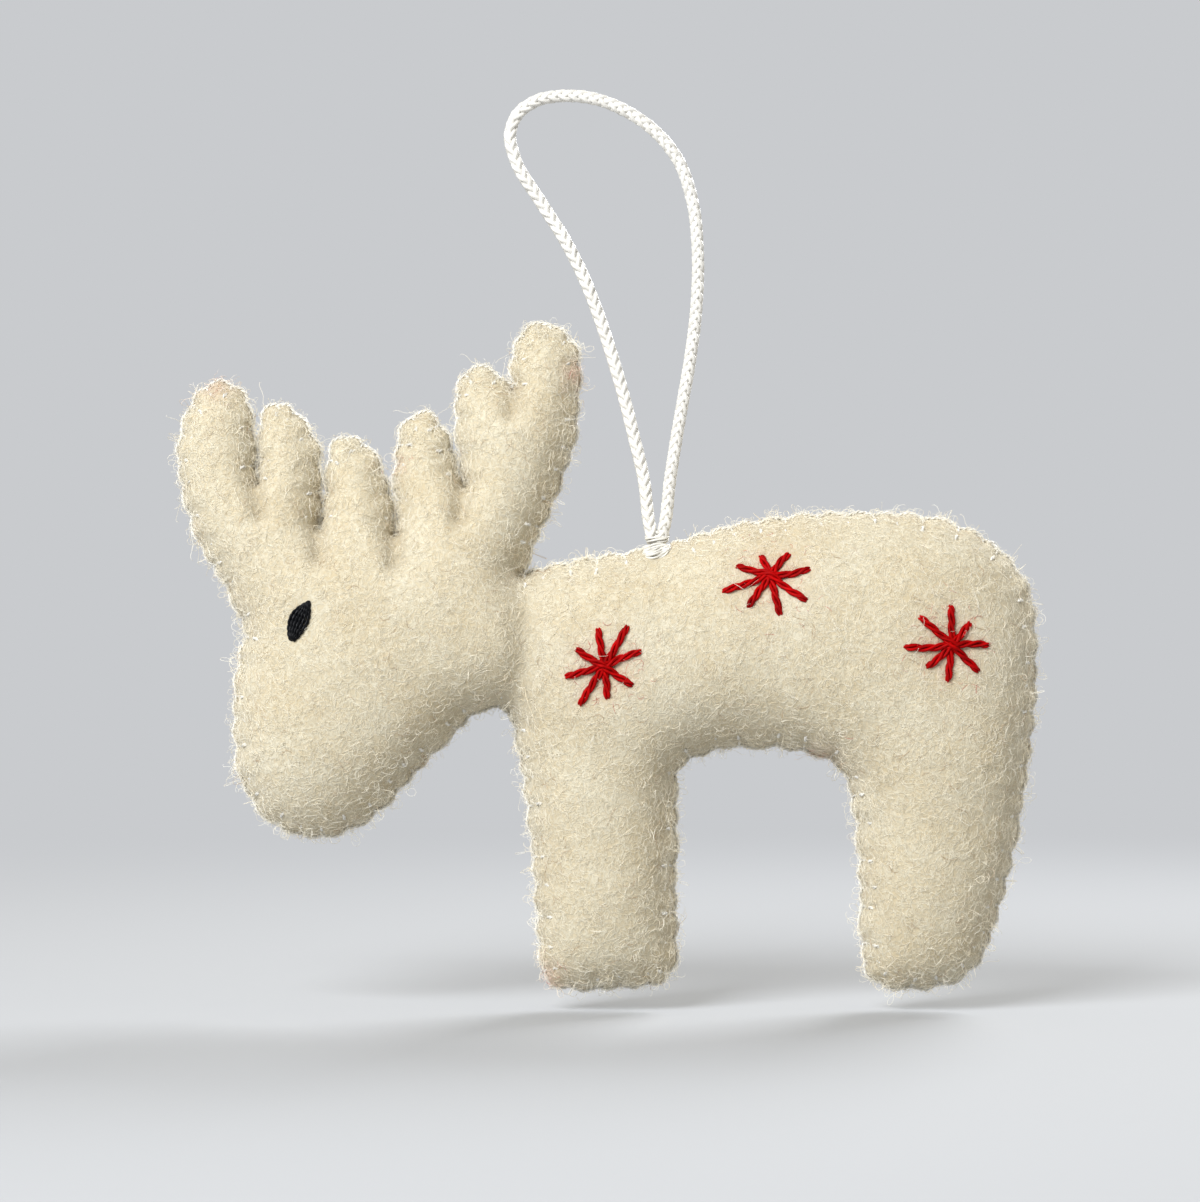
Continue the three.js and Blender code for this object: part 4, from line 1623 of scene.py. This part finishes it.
@dataclass
class Hanger:
    """The loop of braided cord, the thread lashed round its foot, the knot inside and the sewn-in tails."""

    panels: tuple[FeltPanel, FeltPanel]
    diameter: float = 1.6 * MM
    strand: float = 0.35 * MM
    strands_each_way: int = 4
    ring: float = 0.45 * MM
    weave: float = 0.11 * MM
    braid_pitch: float = 5.4 * MM
    core: float = 0.52 * MM
    core_inset: int = 2
    cord_step: float = 0.16 * MM
    pivot: tuple[float, float, float] = (11.7 * MM, 0.0, -56.25 * MM)
    tail_length: float = 8.0 * MM
    tail_top: float = -58.7 * MM
    tail_apart: float = 1.1 * MM
    thread_ply: float = 0.16 * MM
    thread_spread: float = 0.13 * MM
    thread_pitch: float = 4.0 * MM
    thread_step: float = 0.2 * MM
    lashing_radius: float = 1.5 * MM
    lashing_turns: float = 3.5
    lashing_top: float = -0.2
    lashing_drop: float = 1.1
    lashing_waver: float = 0.1
    lashing_phase: float = 0.6
    lashing_depth: float = 0.75
    lashing_samples: int = 200
    knot_radius: float = 0.5 * MM
    knot_strand: float = 0.25 * MM
    knot_turns: int = 3
    knot_tilt: float = 0.9
    knot_taper: float = 0.6
    knot_samples: int = 120
    seam_slope: float = 0.2
    face_drops: tuple[float, float, int] = (0.15, 1.05, 7)
    face_lifts: Place = (0.08, 0.46)
    face_top: float = -58.3
    face_half: float = 1.9
    face_narrowing: float = 0.3
    face_base: float = 0.1
    face_sag: float = 0.1
    face_dive: float = 0.6
    face_dive_share: float = 0.3
    face_lean: float = 0.6
    arc_reaches: Line = ((0.75, -0.17), (1.4, 0.2), (1.88, 0.2), (1.88, 0.55))
    arc_top: float = -58.15
    arc_half: float = 1.85
    arc_start: float = 0.2
    arc_slope: float = 0.06
    arc_samples: int = 34

    def braid(self, path: np.ndarray) -> list[np.ndarray]:
        """Plait eight strands, over two and under two, round a path that lies in the seam's plane.

        Args:
            path: the cord's middle line.

        Returns:
            The strands' middle lines.
        """
        ahead = unit(np.gradient(path, axis=0))
        across = np.array(ACROSS_SEAM)
        beside = np.cross(ahead, across)
        turn = 2 * math.pi * length_along(path) / self.braid_pitch
        lines = []
        apart = 2 * math.pi / self.strands_each_way
        for way, start in ((1, 0.0), (-1, apart / 2)):
            for k in range(self.strands_each_way):
                angle = (way * turn + apart * k + start)[:, None]
                radius = self.ring + way * self.weave * np.cos(2 * angle + math.pi / 2)
                lines.append(path + radius * (np.cos(angle) * beside + np.sin(angle) * across))
        return lines

    def cord(self, name: str, path: np.ndarray, material: bpy.types.Material, body: str) -> bpy.types.Object:
        """Make a length of cord.

        Args:
            name: the piece's name.
            path: its middle line.
            material: the cord's finish.
            body: the body that it rides on.

        Returns:
            The piece.
        """
        piece = strands(name, self.braid(path), self.strand)
        filler = strands(f"{name}_core", [path[self.core_inset : -self.core_inset]], self.core)
        shape = bmesh.new()
        shape.from_mesh(piece.data)
        shape.from_mesh(filler.data)
        shape.to_mesh(piece.data)
        shape.free()
        bpy.data.objects.remove(filler)
        return dress(piece, material, body)

    def loop(self, material: bpy.types.Material) -> None:
        """Args:
            material: the cord's finish.
        """
        path = upright(smooth_line(np.array(LOOP_ROUTE) * MM, self.cord_step))
        piece = self.cord("cord_loop", path, material, "hanger")
        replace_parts(piece, "hanging_loop")

    def lashing(self, material: bpy.types.Material) -> None:
        """Lash thread round the foot of the loop, and tie the knot inside it.

        Args:
            material: the thread's finish.
        """
        share = np.linspace(0, 1, self.lashing_samples)
        angle = 2 * math.pi * self.lashing_turns * share
        waver = self.lashing_waver * np.sin(angle + self.lashing_phase)
        height = (self.lashing_top - self.lashing_drop * share + waver) * MM
        wide = np.sqrt(self.lashing_radius**2 - height**2)
        deep = self.lashing_depth * wide
        path = np.column_stack((wide * np.cos(angle), deep * np.sin(angle), height)) + self.pivot
        out = unit(np.column_stack((np.cos(angle), np.sin(angle), np.zeros_like(angle))))
        piece = strands("thread_lashing", self.twisted(path, out), self.thread_ply)
        dress(piece, material, "lashing")
        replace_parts(piece, "cord_lashing")
        swirl = np.linspace(0, 2 * self.knot_turns * math.pi, self.knot_samples)
        tilt = np.sin(swirl / 2) * self.knot_tilt
        ball = np.column_stack((np.cos(swirl) * np.cos(tilt), np.sin(swirl) * np.cos(tilt), np.sin(tilt)))
        wound = ball * self.knot_radius + self.pivot
        knot = strands("cord_knot_wound", [wound], self.knot_strand, self.knot_taper)
        dress(knot, material, "knot")
        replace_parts(knot, "cord_knot")

    def twisted(self, path: np.ndarray, out: np.ndarray | Sequence[float]) -> list[np.ndarray]:
        """Return the two plies of the sewing thread along a path."""
        return plies(path, out, 2, self.thread_spread, self.thread_pitch)

    def anchors(self, panel: FeltPanel) -> list[np.ndarray]:
        """Sew over the foot of the cord on one face: a band of arcs on the felt, and arcs up to the seam.

        Args:
            panel: the felt on that face.

        Returns:
            The middle lines of the stitches' plies.
        """
        lines = []
        turn = np.linspace(-0.5, 0.5, self.arc_samples) * math.pi
        bowl = np.cos(turn)
        middle = self.pivot[0]
        for k, drop in enumerate(np.linspace(*self.face_drops)):
            across = (self.face_half - self.face_narrowing * drop) * MM * np.sin(turn)
            below = self.face_top * MM + self.seam_slope * across - drop * MM * bowl
            raised = self.face_lifts[k % 2] - self.face_sag * drop
            dive = self.face_dive * bell(bowl, self.face_dive_share)
            lift = (self.face_base + raised * bowl - dive) * MM
            points, normals = panel.under(np.column_stack((middle + across, below)))
            path = smooth_line(points + normals * lift[:, None], self.thread_step)
            lines += self.twisted(path, (0.0, float(panel.face.value), self.face_lean))
        for reach, rise in self.arc_reaches:
            across = self.arc_half * MM * np.sin(turn)
            forward = panel.face.value * (self.arc_start + (reach - self.arc_start) * bowl) * MM
            above = (self.arc_top + rise * bowl) * MM + self.arc_slope * across
            path = smooth_line(np.column_stack((middle + across, forward, above)), self.thread_step)
            lines += self.twisted(path, (0.0, 0.0, 1.0))
        return lines

    def tails(self, cord: bpy.types.Material, thread: bpy.types.Material) -> None:
        """Sew the cord's two tails into the seam, with stitches over their foot on each face.

        Args:
            cord: the cord's finish.
            thread: the thread's finish.
        """
        for side, name in ((-1, "left"), (1, "right")):
            x = self.pivot[0] + side * self.tail_apart
            ends = np.array(((x, 0.0, self.tail_top), (x, 0.0, self.tail_top - self.tail_length)))
            piece = self.cord(f"cord_end_{name}", even_line(ends, self.cord_step), cord, "elk")
            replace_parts(piece, f"{name}_cord_tail")
        lines = [line for panel in self.panels for line in self.anchors(panel)]
        piece = strands("anchor_stitches", lines, self.thread_ply)
        dress(piece, thread, "elk")


@dataclass(frozen=True)
class Lamp:
    """A soft lamp: its place from the middle of the picture, its size and its power."""

    name: str
    offset: tuple[float, float, float]
    size: float
    power: float


@dataclass
class Studio:
    """The camera, a pale floor and soft light."""

    middle: tuple[float, float, float] = (4.29 * MM, 0.0, -64.87 * MM)
    frame_height: float = 156.26 * MM
    lens: float = 120.0
    nearest: float = 10.0 * MM
    floor_drop: float = 2.0 * MM
    floor_radius: float = 4.0
    lamps: tuple[Lamp, ...] = (
        Lamp("key", (-0.36, -0.62, 0.46), size=0.45, power=10.2),
        Lamp("back", (0.4, 0.6, 0.42), size=0.5, power=7.6),
    )
    ambient: float = 0.44
    ambient_tint: Colour = (1.0, 0.93, 0.79, 1.0)
    lamp_tint: tuple[float, float, float] = (0.98, 1.0, 1.03)

    def camera(self) -> None:
        """Set the camera where the photograph was taken from."""
        data = bpy.data.cameras.new("camera")
        data.lens = self.lens
        made = bpy.data.objects.new("camera", data)
        distance = self.frame_height / data.sensor_width * self.lens
        made.location = Vector(self.middle) + Vector((0, -distance, 0))
        made.rotation_euler = (math.pi / 2, 0, 0)
        data.clip_start = self.nearest
        bpy.context.scene.collection.objects.link(made)
        bpy.context.scene.camera = made

    def floor(self, lowest: float) -> None:
        """Lay the floor just under the feet.

        Args:
            lowest: the height of the lowest point of the object.
        """
        shape = bmesh.new()
        bmesh.ops.create_circle(shape, cap_ends=True, segments=96, radius=self.floor_radius)
        made = finished(shape, "floor", smooth=False)
        made.location = (0, 0, lowest - self.floor_drop)
        made.data.materials.append(PALE_FLOOR.material())
        made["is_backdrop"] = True

    def light(self) -> None:
        """Hang the lamps and set the world."""
        target = Vector(self.middle)
        for lamp in self.lamps:
            data = bpy.data.lights.new(lamp.name, "AREA")
            data.size = lamp.size
            data.energy = lamp.power
            data.color = self.lamp_tint
            made = bpy.data.objects.new(lamp.name, data)
            made.location = target + Vector(lamp.offset)
            made.rotation_euler = (-Vector(lamp.offset)).to_track_quat("-Z", "Y").to_euler()
            bpy.context.scene.collection.objects.link(made)
        world = bpy.data.worlds.new("studio")
        world.use_nodes = True
        nodes = Nodes(world.node_tree)
        soft = world.node_tree.nodes["Background"]
        nodes.feed(soft, {"Color": self.ambient_tint, "Strength": self.ambient})
        seen = nodes.add("Background", {"Color": BACKDROP, "Strength": 1.0})
        path = nodes.add("LightPath")
        shown = nodes.maths("MAXIMUM", path.outputs["Is Camera Ray"], path.outputs["Is Glossy Ray"])
        blend = nodes.add("MixShader", {0: shown, 1: soft.outputs[0], 2: seen.outputs[0]})
        nodes.feed(world.node_tree.nodes["World Output"], {"Surface": blend.outputs[0]})
        bpy.context.scene.world = world

    def build(self, lowest: float) -> None:
        """Set up the studio.

        Args:
            lowest: the height of the lowest point of the object.
        """
        self.camera()
        self.floor(lowest)
        self.light()
        bpy.context.scene.view_settings.view_transform = "Standard"


def main() -> None:
    """Build the elk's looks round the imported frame."""
    logging.basicConfig(level=logging.INFO, format="%(name)s: %(message)s")
    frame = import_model()
    solid_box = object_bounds()
    Studio().build(solid_box[0].z)
    pattern = Pattern()
    panels = (FeltPanel(Face.FRONT, pattern), FeltPanel(Face.BACK, pattern))
    thread, cord = WHITE_THREAD.material(), WHITE_CORD.material()
    hanger = Hanger(panels)
    hanger.loop(cord)
    hanger.lashing(thread)
    hanger.tails(cord, thread)
    felt, wool, lint = CREAM_FELT.material(), WOOL_FIBRE.material(), RED_LINT.material()
    red, black = RED_FLOSS.material(), BLACK_FLOSS.material()
    wads = Filling(panels, frame["nodes"]).build(FILLING.material())
    for seed, panel in enumerate(panels):
        panel.declare(panel.build(felt), wads)
        nap = Nap(panel, seed)
        nap.build(wool)
        nap.build_lint(lint)
        stitches = StarStitches(panel, np.random.default_rng(STAR_SEED + seed))
        for star in STARS:
            stitches.build(star, red)
        Eye(panel).build(black)
    EdgeStitching(pattern, panels).build(thread)


if __name__ == "__main__":
    main()
